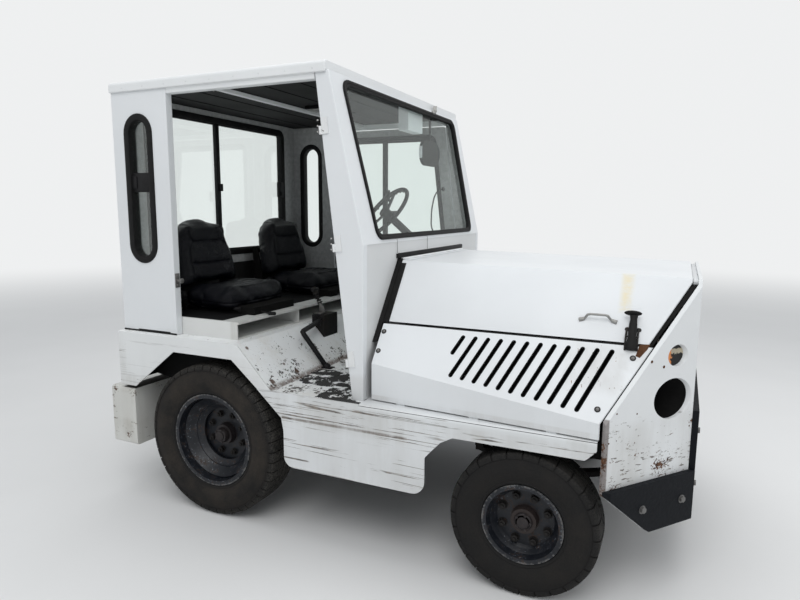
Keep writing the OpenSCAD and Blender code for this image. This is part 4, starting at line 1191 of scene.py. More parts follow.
@dataclass
class Wheel:
    """One tyre with its tread, and the nuts and hub of its wheel.

    The profiles' points are (radius, share of half the width). bead goes up
    from the rim's flange, wall up the side in shares of its height, and
    shoulder, lug and rib down from the tread. share is the part of a step
    that a lug takes.
    """

    kind: WheelKind
    side: str
    share: float = 0.9
    bead: Profile = ((0.001, 0.72), (0.004, 0.8), (0.012, 0.85), (0.016, 0.83))
    wall: Profile = ((0.36, 0.95), (0.5, 0.985), (0.56, 0.985), (0.58, 0.972), (0.74, 0.95))
    shoulder: Profile = ((0.032, 0.915), (0.019, 0.87), (0.01, 0.78), (0.008, 0.4))
    lug: Profile = ((0.01, 0.4), (0.001, 0.4), (0.0015, 0.7), (0.005, 0.83), (0.014, 0.905), (0.027, 0.945),
                    (0.032, 0.9))
    rib: Profile = ((0.01, 0.05), (0.001, 0.05), (0.001, 0.34), (0.01, 0.34))

    def __post_init__(self) -> None:
        """Works out the centre, the outward sign and the end of the names."""
        self.out = 1 if self.side == "left" else -1
        self.centre = self.kind.middle(self.out)
        self.label = f"{self.kind.end}_{self.side}"
        self.body = f"wheel_{self.kind.end[0]}{self.side[0]}"

    def build(self) -> None:
        """Makes the tyre, its tread, the nuts and the hub."""
        self._tyre()
        self._nuts()
        self._hub()

    def _around(self, radius: float, angle: float, out: float) -> Vector:
        """Point at an angle round the axle, some way outside the wheel's middle."""
        x, y, z = self.centre
        return Vector((x + radius * cos(angle), y + self.out * out, z + radius * sin(angle)))

    def _tyre(self) -> None:
        """Carcass turned from one profile, tread blocks turned one by one."""
        kind, r, w = self.kind, self.kind.radius, self.kind.width / 2
        half = [(kind.seat, 0.72), *((kind.flange + up, share) for up, share in self.bead)]
        half += [(kind.seat + up * (r - kind.seat), share) for up, share in self.wall]
        half += [(r - down, share) for down, share in self.shoulder]
        shape = Shape()
        ring = [(a, b * w) for a, b in half] + [(a, -b * w) for a, b in reversed(half)]
        shape.revolve(ring, self.centre, steps=96)
        step = tau / kind.lugs
        for points, shift, share in ((self.lug, 0.25, self.share), (self.rib, 0.5, self.share + 0.03)):
            for sign in SIDES:
                profile = [(r - down, sign * part * w) for down, part in points]
                for i in range(kind.lugs):
                    start = (i + shift * (sign > 0)) * step
                    shape.revolve(profile, self.centre, steps=3, start=start, angle=step * share)
        finish = TyreRubber(f"{kind.end} {self.side} tyre rubber", self.centre, r, kind.flange, kind.dust,
                            tread=kind.tread)
        shape.piece(f"tread_{self.label}", Slot.TYRE, finish, self.body, replaces=[f"tyre_{self.label}"])

    def _nuts(self) -> None:
        """Wheel nuts on their studs."""
        kind, shape = self.kind, Shape()
        for i in range(kind.nuts):
            spot = self._around(kind.nut_circle, tau * (i + 0.5) / kind.nuts, kind.disc)
            shape.hexagon(spot, (0, self.out, 0), 0.027, 0.018, washer=0.019)
            shape.rod(spot, spot + Vector((0, self.out * 0.028, 0)), 0.0075, sides=10, edge=0.001)
        shape.piece(f"nuts_{self.label}", Slot.RIM, DARK_STEEL, self.body)

    def _hub(self) -> None:
        """Turned rings of the dish, the hub, its cap and the cap's bolts."""
        dish, face, hub = Shape(), self.kind.disc + 0.035, self.kind.hub
        for ring in self.kind.rings:
            dish.revolve([(r, self.out * y) for r, y in ring], self.centre, steps=72)
        for low, high, radius, end, sides, edge in ((-0.004, hub, 0.04, 0.034, 36, 0.004),
                                                    (hub - 0.002, hub + 0.006, 0.024, None, 30, 0.003)):
            start, stop = self._around(0, 0, face + low), self._around(0, 0, face + high)
            dish.rod(start, stop, radius, end, sides=sides, edge=edge)
        for k in range(5):
            spot = self._around(0.031, tau * k / 5, face + hub - 0.006)
            dish.hexagon(spot, (0, self.out, 0), 0.011, 0.009)
        steel = f"{self.kind.end} {self.side} dish steel"
        finish = RimSteel(steel, self.centre, self.kind.flange, 0.046, 0.35)
        dish.piece(f"hub_{self.label}", Slot.RIM, finish, self.body)


@dataclass
class Fasteners:
    """Bolts of the hood's side panels and of the bumper pads."""

    panel_spots: Profile = ((0.19, -0.372), (0.19, -0.468), (1.246, -0.382), (1.142, -0.603))
    corner_spots: Profile = ((0.19, 0.414), (0.409, 0.411))
    front_y: tuple[float, ...] = (-0.38, 0.0, 0.38)
    front_z: tuple[float, ...] = (0.42, 0.65)
    pad_face: float = 0.0245

    def build(self) -> None:
        """Makes the bolts of every panel."""
        panel, rings = Shape(), Shape()
        for x, v in self.panel_spots:
            for side in SIDES:
                panel.dome(slope_place(x, v, 0.0015, side), SLOPE_N[side], 0.0075, 0.0045)
                up = SLOPE_N[side].cross(Vector((1, 0, 0)))
                slot = plane(slope_place(x, v, 0.0, side), (1, 0.3, 0), up)
                panel.block((-0.0055, -0.001, 0.0048), (0.0055, 0.001, 0.0065), 0.0003, slot)
                rings.rod(slope_place(x, v, -0.001, side), slope_place(x, v, 0.0016, side), 0.0115, sides=24,
                          edge=0.0004)
        panel.piece("panel_bolts", Slot.WHITE, DULL_STEEL)
        rings.piece("panel_washers", Slot.RUBBER, DARK_STEEL)
        pads = Shape()
        places = [(corner_place(s, z, self.pad_face, side), CORNER_N[side])
                  for s, z in self.corner_spots for side in SIDES]
        places += [((NOSE_X + self.pad_face, y, z), (1, 0, 0)) for y in self.front_y for z in self.front_z]
        for spot, normal in places:
            pads.hexagon(spot, normal, 0.022, 0.01, washer=0.017)
        pads.piece("pad_bolts", Slot.RUBBER, DULL_STEEL)


@dataclass
class Glazing:
    """Rubber round the panes, the frames of the sliding windows and the belt strip."""

    screen_z: Pair = (1.424, 2.098)
    screen_half: Pair = (0.65, 0.7)
    rear_half: float = 0.62
    rear_z: Pair = (1.265, 2.085)
    slot_x: float = -1.118
    slot_half: float = 0.092
    slot_z: Pair = (1.273, 2.007)
    door_x: Point = (-0.843, -0.062, -0.155)
    door_z: Pair = (1.265, 2.03)

    def build(self) -> None:
        """Makes the rubbers, the frames and the seams under the windscreen."""
        self._windscreen().piece("windscreen_rubber", Slot.RUBBER, RUBBER)
        self._rear().piece("rear_window_rubber", Slot.RUBBER, RUBBER)
        self._slots().piece("side_window_rubbers", Slot.RUBBER, RUBBER)
        self._door().piece("door_window_rubber", Slot.RUBBER, RUBBER, "door")
        self._sliders()
        belt = Shape().block((0.15, -0.452, 1.3175), (0.164, 0.462, 1.341), 0.004)
        for end in (-0.452, 0.462):
            belt.rod((0.152, end, 1.318), (0.152, end, 1.339), 0.011, sides=16, edge=0.002)
        belt.piece("belt_rubber", Slot.RUBBER, RUBBER)
        seams = Shape()
        for y in (-0.458, -0.08):
            seams.block((0.1535, y - 0.0012, 1.342), (0.1546, y + 0.0012, 1.397), 0.0004)
            lean = plane((BELT[0], y, BELT[1]), (0, 1, 0), (-SCREEN_LEAN, 0, 1))
            seams.block((-0.0012, 0.0, -0.001), (0.0012, 0.018, 0.0006), 0.0004, place=lean)
        seams.piece("cowl_seams", Slot.RUBBER, RUBBER)

    def _windscreen(self) -> Shape:
        """Wide rubber with an inner lip."""
        (z0, z1), (low, high) = self.screen_z, self.screen_half
        rise = hypot(z1 - z0, (z1 - z0) * SCREEN_LEAN)
        tilt = plane((BELT[0] - (z0 - BELT[1]) * SCREEN_LEAN, 0, z0), (0, 1, 0), (-SCREEN_LEAN, 0, 1))
        shape = Shape()
        for out, rim, back, front in ((0.013, 0.015, -0.004, 0.009), (0.002, 0.014, -0.016, 0.006)):
            ring = rounded([(a, b, 0.055) for a, b in ((-low - out, -out), (low + out, -out),
                                                       (high + out, rise + out), (-high - out, rise + out))])
            shape.outline(ring, tilt @ Matrix.Translation((0, 0, back)), front - back, rim=rim, edge=0.003)
        return shape

    def _rear(self) -> Shape:
        """Rubber of the rear window, both faces of the wall."""
        y, (z0, z1) = self.rear_half, self.rear_z
        wall, y, z0, z1 = plane((-1.299, 0, 0), (0, 1, 0), (0, 0, 1)), y + 0.014, z0 - 0.014, z1 + 0.014
        ring = rounded([(a, b, 0.058) for a, b in ((-y, z0), (y, z0), (y, z1), (-y, z1))])
        return Shape().outline(ring, wall, 0.043, rim=0.036, edge=0.003)

    def _slots(self) -> Shape:
        """Rubber round the narrow windows of the rear posts."""
        shape = Shape()
        z0, z1 = self.slot_z
        ring = stadium((self.slot_x, (z0 + z1) / 2), (self.slot_half + 0.003, (z1 - z0) / 2 + 0.006))
        side = plane((0, -0.7625, 0), (1, 0, 0), (0, 0, 1))
        shape.outline(ring, side, 0.0485, rim=0.034, edge=0.004)
        return shape.both_sides()

    def _door(self) -> Shape:
        """Rubber of the door's window."""
        x0, low, high = self.door_x
        z0, z1 = self.door_z
        ring = rounded([(a, b, 0.06) for a, b in ((x0 - 0.012, z0 - 0.012), (low + 0.014, z0 - 0.012),
                                                  (high + 0.012, z1 + 0.012), (x0 - 0.012, z1 + 0.012))])
        side = plane((0, 0.8105, 0), (1, 0, 0), (0, 0, 1))
        return Shape().outline(ring, side, 0.046, rim=0.03, edge=0.003)

    def _sliders(self) -> None:
        """Channels, meeting bars and catches of the sliding panes."""
        rear = Shape()
        y, (z0, z1) = self.rear_half, self.rear_z
        rear.block((-1.29, -0.07, z0), (-1.2645, -0.04, z1), 0.002)
        rear.block((-1.286, -y + 0.02, z0 + 0.018), (-1.266, y - 0.02, z0 + 0.03), 0.001)
        rear.block((-1.286, -y + 0.02, z1 - 0.03), (-1.266, y - 0.02, z1 - 0.018), 0.001)
        rear.block((-1.2645, y - 0.078, 1.63), (-1.242, y - 0.02, 1.735), 0.004)
        rear.rod((-1.252, y - 0.05, 1.655), (-1.236, y - 0.05, 1.655), 0.012, sides=16, edge=0.002)
        rear.block((-1.2645, -0.06, 1.655), (-1.25, -0.035, 1.7), 0.003)
        rear.piece("rear_window_bars", Slot.PLASTIC, PLASTIC)
        side = Shape()
        side.block((-1.204, -0.796, 1.628), (-1.04, -0.766, 1.724), 0.004)
        side.block((-1.19, -0.8, 1.645), (-1.15, -0.796, 1.707), 0.003)
        side.block((-1.204, -0.792, 1.724), (-1.196, -0.78, 1.93), 0.001)
        side.piece("side_window_bars", Slot.PLASTIC, PLASTIC)
        door = Shape()
        door.block((-0.537, 0.774, 1.268), (-0.505, 0.798, 2.027), 0.002)
        door.block((-0.825, 0.776, 1.283), (-0.085, 0.794, 1.296), 0.001)
        door.block((-0.825, 0.776, 1.999), (-0.165, 0.794, 2.012), 0.001)
        door.block((-0.5, 0.764, 1.6), (-0.478, 0.776, 1.68), 0.003)
        door.piece("door_window_bars", Slot.PLASTIC, PLASTIC, "door")


@dataclass
class Pad:
    """One padded vinyl piece of a seat: a closed form swollen by cloth, then sewn.

    half holds half its width, length and thickness, of which room is left for
    the swelling. seams holds lines on its upper face, as points (across,
    along) in shares of the half sizes. cap is the furthest that a point may
    swell, crown the height of its middle, and ironing the smoothing steps.
    """

    name: str
    half: Point
    narrow: float
    round_front: float
    bolster: float
    seams: tuple[Profile, ...]
    cap: float = 0.022
    crown: float = 0.0
    room: float = 0.007
    voxel: float = 0.0058
    pressure: float = 4
    frames: int = 20
    ironing: int = 14

    def mesh(self) -> Mesh:
        """Makes the pad about the origin, its upper face towards +Z and its front or top towards +Y."""
        shape = bmesh.new()
        bmesh.ops.create_cube(shape, size=2)
        bmesh.ops.subdivide_edges(shape, edges=shape.edges[:], cuts=15, use_grid_fill=True)
        hx, hy, hz = (value - self.room for value in self.half)
        for vert in shape.verts:
            u, v, w = vert.co
            across = u * sqrt(max(0.0, 1 - 0.3 * v * v)) / sqrt(0.7) * 0.92
            along = v * sqrt(max(0.0, 1 - self.round_front * u * u * (0.6 + 0.4 * v)))
            across = max(-1.0, min(1.0, across)) * (1 - self.narrow * (v + 1) / 2)
            edge = max(abs(u), abs(v))
            thin = 1 - 0.45 * edge ** 8
            lift = 0.0
            if w > 0:
                lift = self.bolster * _hump(abs(u), 0.8, 0.22) + self.bolster * 0.6 * _hump(v, 0.82, 0.24)
                lift += self.crown * (1 - u * u) * _hump(v, 0.55, 0.35)
            vert.co = (across * hx, along * hy, w * hz * thin + lift)
        mesh = bpy.data.meshes.new(self.name)
        bmesh.ops.recalc_face_normals(shape, faces=shape.faces[:])
        shape.to_mesh(mesh)
        shape.free()
        holder = placed(self.name, mesh)
        remesh = holder.modifiers.new("remesh", "REMESH")
        remesh.mode = "VOXEL"
        remesh.voxel_size = self.voxel
        solid = _applied(holder)
        solid = self._swell(solid)
        return self._sew(solid)

    def _swell(self, holder: Object) -> Object:
        """Swells the pad by cloth under pressure, no point further than the cap."""
        rest = _coords(holder.data)
        cloth = holder.modifiers.new("cloth", "CLOTH")
        cloth.settings.use_pressure = True
        cloth.settings.uniform_pressure_force = self.pressure
        cloth.settings.effector_weights.gravity = 0
        cloth.point_cache.frame_start, cloth.point_cache.frame_end = 1, self.frames
        scene = bpy.context.scene
        for step in range(1, self.frames + 1):
            scene.frame_set(step)
        swollen = _applied(holder)
        scene.frame_set(1)
        moved = _coords(swollen.data) - rest
        size = np.linalg.norm(moved, axis=1, keepdims=True)
        moved *= np.minimum(1.0, self.cap / np.maximum(size, 1e-9))
        swollen.data.vertices.foreach_set("co", (rest + moved).ravel())
        ironed = swollen.modifiers.new("ironed", "SMOOTH")
        ironed.factor, ironed.iterations = 0.5, self.ironing
        return _applied(swollen)

    def _sew(self, holder: Object) -> Mesh:
        """Subdivides once, presses the sewn channels and draws the small folds beside them."""
        divide = holder.modifiers.new("divide", "SUBSURF")
        divide.levels = divide.render_levels = 1
        holder = _applied(holder)
        mesh = holder.data
        at = _coords(mesh)
        normals = np.empty(len(mesh.vertices) * 3)
        mesh.vertices.foreach_get("normal", normals)
        normals = normals.reshape(-1, 3)
        depth = np.zeros(len(at))
        hx, hy, _ = self.half
        upper = np.clip((normals[:, 2] + 0.15) / 0.3, 0, 1)
        near = np.full(len(at), 1.0)
        for seam in self.seams:
            points = np.array(seam) * (hx, hy)
            for a, b in zip(points[:-1], points[1:]):
                line = b - a
                share = np.clip(((at[:, :2] - a) @ line) / (line @ line), 0, 1)
                near = np.minimum(near, np.linalg.norm(at[:, :2] - (a + share[:, None] * line), axis=1))
        depth += upper * (0.0065 * np.exp(-(near / 0.0042) ** 2) + 0.003 * np.exp(-(near / 0.016) ** 2))
        rim = np.clip((0.5 - np.abs(normals[:, 2])) / 0.3, 0, 1)
        depth += 0.0045 * rim * np.exp(-((at[:, 2] + 0.012) / 0.0035) ** 2)
        folds = np.sin(at[:, 0] * 95 + np.sin(at[:, 1] * 33) * 2.0) * np.sin(at[:, 1] * 41 + at[:, 0] * 17)
        depth += 0.0011 * folds * upper * np.exp(-(near / 0.035) ** 2)
        at -= normals * depth[:, None]
        mesh.vertices.foreach_set("co", at.ravel())
        bpy.data.objects.remove(holder)
        return mesh


def _hump(value: float, centre: float, width: float) -> float:
    """Smooth hump of height 1 round a centre."""
    return exp(-((value - centre) / width) ** 2)


def _coords(mesh: Mesh) -> np.ndarray:
    """The places of a mesh's vertices."""
    found = np.empty(len(mesh.vertices) * 3)
    mesh.vertices.foreach_get("co", found)
    return found.reshape(-1, 3)


def _applied(holder: Object) -> Object:
    """A new object whose mesh has the modifiers of the old one applied; the old one is deleted."""
    graph = bpy.context.evaluated_depsgraph_get()
    mesh = bpy.data.meshes.new_from_object(holder.evaluated_get(graph))
    made = placed(holder.name, mesh)
    bpy.data.objects.remove(holder)
    return made


@dataclass
class Seats:
    """Two seats of black vinyl on their pans and slides."""

    sides: Pair = (-0.385, 0.385)
    cushion: Pad = field(default_factory=lambda: Pad(
        "cushion", (0.238, 0.198, 0.052), -0.08, 0.38, 0.018,
        (((-0.6, -0.9), (-0.64, 0.2), (-0.68, 0.48), (-0.4, 0.66),
          (0.4, 0.66), (0.68, 0.48), (0.64, 0.2), (0.6, -0.9)),
         ((-0.66, 0.32), (0.66, 0.32)), ((-0.64, 0.06), (0.64, 0.06)), ((-0.62, -0.2), (0.62, -0.2)),
         ((-0.6, -0.5), (0.6, -0.5)))))
    back: Pad = field(default_factory=lambda: Pad(
        "back", (0.244, 0.206, 0.046), 0.28, 0.62, 0.032,
        (((-0.46, 0.9), (-0.56, 0.46), (-0.54, 0.34), (-0.44, 0.24),
          (0.44, 0.24), (0.54, 0.34), (0.56, 0.46), (0.46, 0.9)),
         ((-0.62, -0.95), (-0.66, -0.3), (-0.62, 0.06), (-0.5, 0.2)),
         ((0.62, -0.95), (0.66, -0.3), (0.62, 0.06), (0.5, 0.2)),
         ((-0.64, -0.36), (0.64, -0.36))), crown=0.01))
    lean: Point = (-0.229, 0, 0.973)
    fill: float = 0.75

    def build(self) -> None:
        """Makes both cushions and backs, their pans, shells and adjusters."""
        pads = ((self.cushion, self.cushion.mesh(), (-0.878, 1.066), (0, -1, 0), (1, 0, 0)),
                (self.back, self.back.mesh(), (-1.138, 1.302), (0, 1, 0), self.lean))
        for pad, mesh, (x, z), across, up in pads:
            for sign, side in HANDS:
                copy = mesh.copy()
                copy.transform(plane((x, sign * self.sides[1], z), across, up))
                for face in copy.polygons:
                    face.use_smooth = True
                made = settle(placed(f"seat_{pad.name}_{side}", copy), VINYL,
                              replaces=[f"seat_{pad.name}s"])
            bpy.data.meshes.remove(mesh)
        self._shells()
        self._adjusters()

    def _shells(self) -> None:
        """Black shells behind the backs and under the cushions."""
        shape = Shape()
        shell = rounded([(-0.16, -0.165, 0.03), (0.16, -0.165, 0.03),
                         (0.085, 0.135, 0.06), (-0.085, 0.135, 0.06)])
        for y in self.sides:
            lean = plane((-1.196, y, 1.3), (0, 1, 0), self.lean)
            shape.outline(shell, lean, 0.006, edge=0.002)
            for v in (-0.1, -0.02, 0.06):
                shape.block((-0.1, v - 0.006, -0.004), (0.1, v + 0.006, 0.002), 0.003, place=lean)
            shape.block((-1.045, y - 0.2, 1.018), (-0.706, y + 0.2, 1.032), 0.006)
            shape.block((-0.722, y - 0.19, 1.005), (-0.704, y + 0.19, 1.034), 0.006)
        shape.piece("seat_shells", Slot.PLASTIC, PLASTIC)

    def _adjusters(self) -> None:
        """Slide levers, recliner knobs and the bolts of the pans."""
        shape = Shape()
        for y in self.sides:
            shape.rod((-0.64, y - 0.12, 1.012), (-0.56, y - 0.135, 1.004), 0.005, sides=12, edge=0.001)
            shape.rod((-0.56, y - 0.135, 1.004), (-0.52, y - 0.135, 1.006), 0.01, sides=16, edge=0.003)
            shape.rod((-1.06, y - 0.216, 1.08), (-1.06, y - 0.24, 1.08), 0.022, sides=24, edge=0.004)
            for k in range(10):
                a = tau * k / 10
                x, z = -1.06 + 0.022 * cos(a), 1.08 + 0.022 * sin(a)
                shape.rod((x, y - 0.218, z), (x, y - 0.238, z), 0.003, sides=6)
            for x in (-0.98, -0.75):
                for off in (-0.15, 0.15):
                    shape.hexagon((x, y + off, 1.0335), (0, 0, -1), 0.013, 0.006, washer=0.011)
        shape.piece("seat_adjusters", Slot.PLASTIC, PLASTIC)


@dataclass
class CabInterior:
    """Dash instruments, wheel hub, pedals, brake, mat and the small things inside the cab.

    gauges holds (y, z, radius) of each instrument, pedals (y, half width).
    """

    gauges: tuple[Point, ...] = ((0.48, 1.33, 0.04), (0.385, 1.33, 0.04), (0.292, 1.33, 0.028))
    switches: tuple[float, ...] = (0.2, 0.165, 0.13, 0.095, -0.3, -0.34)
    switch_z: float = 1.325
    pedals: Profile = ((0.255, 0.034), (0.385, 0.034), (0.515, 0.026))
    brake_bolts: Profile = ((-0.49, 0.925), (-0.45, 0.925), (-0.47, 0.948))
    pipe: tuple[Point, ...] = ((-0.3, -0.377, 0.712), (-0.398, -0.44, 0.892), (-0.403, -0.441, 0.903),
                               (-0.408, -0.43, 0.9075), (-0.456, -0.2, 0.918))
    stalk: tuple[Point, ...] = ((0.02, 0.402, 1.386), (-0.012, 0.4, 1.432), (-0.018, 0.4, 1.5),
                                (-0.009, 0.4, 1.588), (0.01, 0.4, 1.644), (0.032, 0.4, 1.666),
                                (0.056, 0.4, 1.671))

    def build(self) -> None:
        """Makes every piece of the cab's inside."""
        self._gauges()
        self._wheel_hub()
        self._pedals()
        self._brake()
        self._brake_pipe()
        # Painted shade: the mat under the seats is near black for the shade that they cast.
        mat = Shape().block((-1.258, -0.752, 0.9935), (-0.668, 0.752, 0.9965), 0.001)
        mat.piece("seat_box_mat", Slot.RUBBER, MAT_AND_SHADE)
        tube("dash_stalk", self.stalk, 0.0045, PLASTIC)
        ends = Shape().rod((0.022, 0.402, 1.384), (0.018, 0.402, 1.398), 0.014, 0.008, edge=0.002)
        ends.rod((0.052, 0.4, 1.67), (0.064, 0.4, 1.673), 0.014, edge=0.003)
        ends.piece("stalk_feet", Slot.PLASTIC, PLASTIC)
        self._overhead()

    def _gauges(self) -> None:
        """Round instruments with their marks, and switches, on the dashboard and without words."""
        bezel, dials, marks = Shape(), Shape(), Shape()
        for y, z, r in self.gauges:
            bezel.rod((0.01, y, z), (-0.004, y, z), r + 0.006, r + 0.003, sides=40, edge=0.002)
            dials.rod((0.002, y, z), (-0.0045, y, z), r - 0.002, sides=40)
            for k in range(9):
                a = radians(-45 + 270 * k / 8)
                spot = Vector((-0.0048, y + (r - 0.008) * cos(a), z + (r - 0.008) * sin(a)))
                turn = Matrix.Translation(spot) @ Matrix.Rotation(a - pi / 2, 4, "X")
                marks.block((-0.0004, -0.0008, -0.003), (0.0004, 0.0008, 0.003), place=turn)
            turn = Matrix.Translation((-0.0056, y, z)) @ Matrix.Rotation(radians(200), 4, "X")
            marks.block((-0.0005, -0.001, 0.0), (0.0005, 0.001, r * 0.7), place=turn)
        z = self.switch_z
        for k, y in enumerate(self.switches):
            bezel.rod((0.009, y, z), (0.002, y, z), 0.01, sides=20, edge=0.001)
            bezel.rod((0.004, y, z), (-0.014, y, z + 0.006 * (-1) ** k), 0.0035, 0.005, sides=12, edge=0.001)
        bezel.block((0.0, -0.7, 1.29), (0.009, -0.42, 1.365), 0.004)
        bezel.piece("dash_fittings", Slot.PLASTIC, PLASTIC)
        dials.piece("gauge_faces", Slot.PLASTIC, SHELL_BLACK)
        marks.piece("gauge_marks", Slot.WHITE, ZINC)

    def _wheel_hub(self) -> None:
        """Horn cap and finger bumps of the steering wheel."""
        axis, across, centre = Vector(STEERING_AXIS).normalized(), Vector((0, 1, 0)), Vector(WHEEL_C)
        up = axis.cross(across)
        shape = Shape()
        shape.rod(centre + axis * 0.004, centre + axis * 0.024, 0.04, 0.036, sides=40, edge=0.006)
        shape.rod(centre + axis * 0.022, centre + axis * 0.028, 0.024, sides=32, edge=0.002)
        for k in range(28):
            a = tau * k / 28
            spot = centre + (across * cos(a) + up * sin(a)) * 0.176
            shape.dome(spot - axis * 0.009, -axis, 0.007, 0.006)
        shape.piece("wheel_hub_cap", Slot.PLASTIC, PLASTIC, "hand_wheel")

    def _pedals(self) -> None:
        """Ribbed rubbers of the pedals."""
        shape = Shape()
        for y, half in self.pedals:
            shape.block((-0.0495, y - half, 0.833), (-0.0415, y + half, 0.907), 0.003)
            for k in range(6):
                z = 0.84 + 0.0115 * k
                shape.block((-0.0525, y - half + 0.004, z), (-0.0485, y + half - 0.004, z + 0.0055), 0.001)
        shape.piece("pedal_rubbers", Slot.RUBBER, RUBBER)

    def _brake(self) -> None:
        """Bracket, grip and sleeve of the brake lever."""
        brake = Shape().block((-0.505, -0.186, 0.908), (-0.433, -0.18, 0.958), 0.002)
        for x, z in self.brake_bolts:
            brake.hexagon((x, -0.1905, z), (0, -1, 0), 0.014, 0.007, washer=0.012)
        low, high = Vector((-0.497, -0.12, 1.01)), Vector((-0.519, -0.127, 1.058))
        for k in range(5):
            at = low.lerp(high, k / 4)
            radius = 0.0165 - 0.0015 * (k % 2)
            brake.rod(at, at + Vector((-0.002, -0.0008, 0.006)), radius, sides=18, edge=0.002)
        brake.block((-0.5, -0.196, 0.912), (-0.486, -0.038, 0.944), 0.003)
        brake.rod((-0.446, -0.196, 0.934), (-0.446, -0.03, 0.934), 0.011, sides=18, edge=0.002)
        brake.rod((-0.446, -0.2, 0.934), (-0.43, -0.23, 0.9), 0.004, sides=10)
        brake.block((-0.538, -0.158, 1.078), (-0.512, -0.1, 1.096), 0.006)
        brake.piece("brake_grip", Slot.PLASTIC, PLASTIC)
        sleeve = Shape().rod((-0.474, -0.1115, 0.95), (-0.504, -0.1215, 1.022), 0.0115, edge=0.002)
        sleeve.block((-0.496, -0.134, 0.948), (-0.462, -0.129, 0.992), 0.001)
        sleeve.block((-0.49, -0.19, 0.956), (-0.452, -0.14, 0.962), 0.001)
        sleeve.rod((-0.474, -0.09, 0.93), (-0.474, -0.03, 0.93), 0.006, sides=12, edge=0.001)
        sleeve.piece("brake_lever_sleeve", Slot.RIM, DULL_STEEL)

    def _brake_pipe(self) -> None:
        """Black sleeve of the bent pipe, and its foot on the floor."""
        tube("brake_pipe_sleeve", self.pipe, 0.0135, PLASTIC, sides=16, smooth=False)
        shoe = Shape()
        shoe.rod((-0.294, -0.374, 0.7065), (-0.306, -0.381, 0.727), 0.022, 0.016, sides=24, edge=0.003)
        shoe.block((-0.335, -0.4, 0.7065), (-0.262, -0.35, 0.711), 0.002)
        shoe.piece("brake_pipe_foot", Slot.PLASTIC, PLASTIC)

    def _overhead(self) -> None:
        """Liner seams, courtesy lamp and the fittings of the wiper under the roof."""
        shape = Shape()
        for x in (-1.09, -0.88, -0.48, -0.28):
            shape.rod((x, -0.74, 2.13), (x, 0.74, 2.13), 0.003, sides=10)
        shape.block((-0.62, -0.06, 2.112), (-0.52, 0.06, 2.131), 0.006)
        shape.piece("roof_lining_trim", Slot.PLASTIC, MAT_AND_SHADE)
        lens = Shape().block((-0.612, -0.05, 2.104), (-0.528, 0.05, 2.114), 0.004)
        lens.piece("cab_lamp_lens", Slot.WHITE, ZINC)
        bracket = Shape().block((-0.345, -0.16, 2.098), (-0.3, -0.12, 2.13), 0.003)
        bracket.rod((-0.322, -0.14, 2.1), (-0.322, -0.14, 2.086), 0.007, sides=14, edge=0.002)
        bracket.rod((-0.688, -0.756, 2.118), (-0.688, -0.73, 2.104), 0.006, sides=12, edge=0.001)
        bracket.piece("roof_bracket", Slot.WHITE, ALLOY)


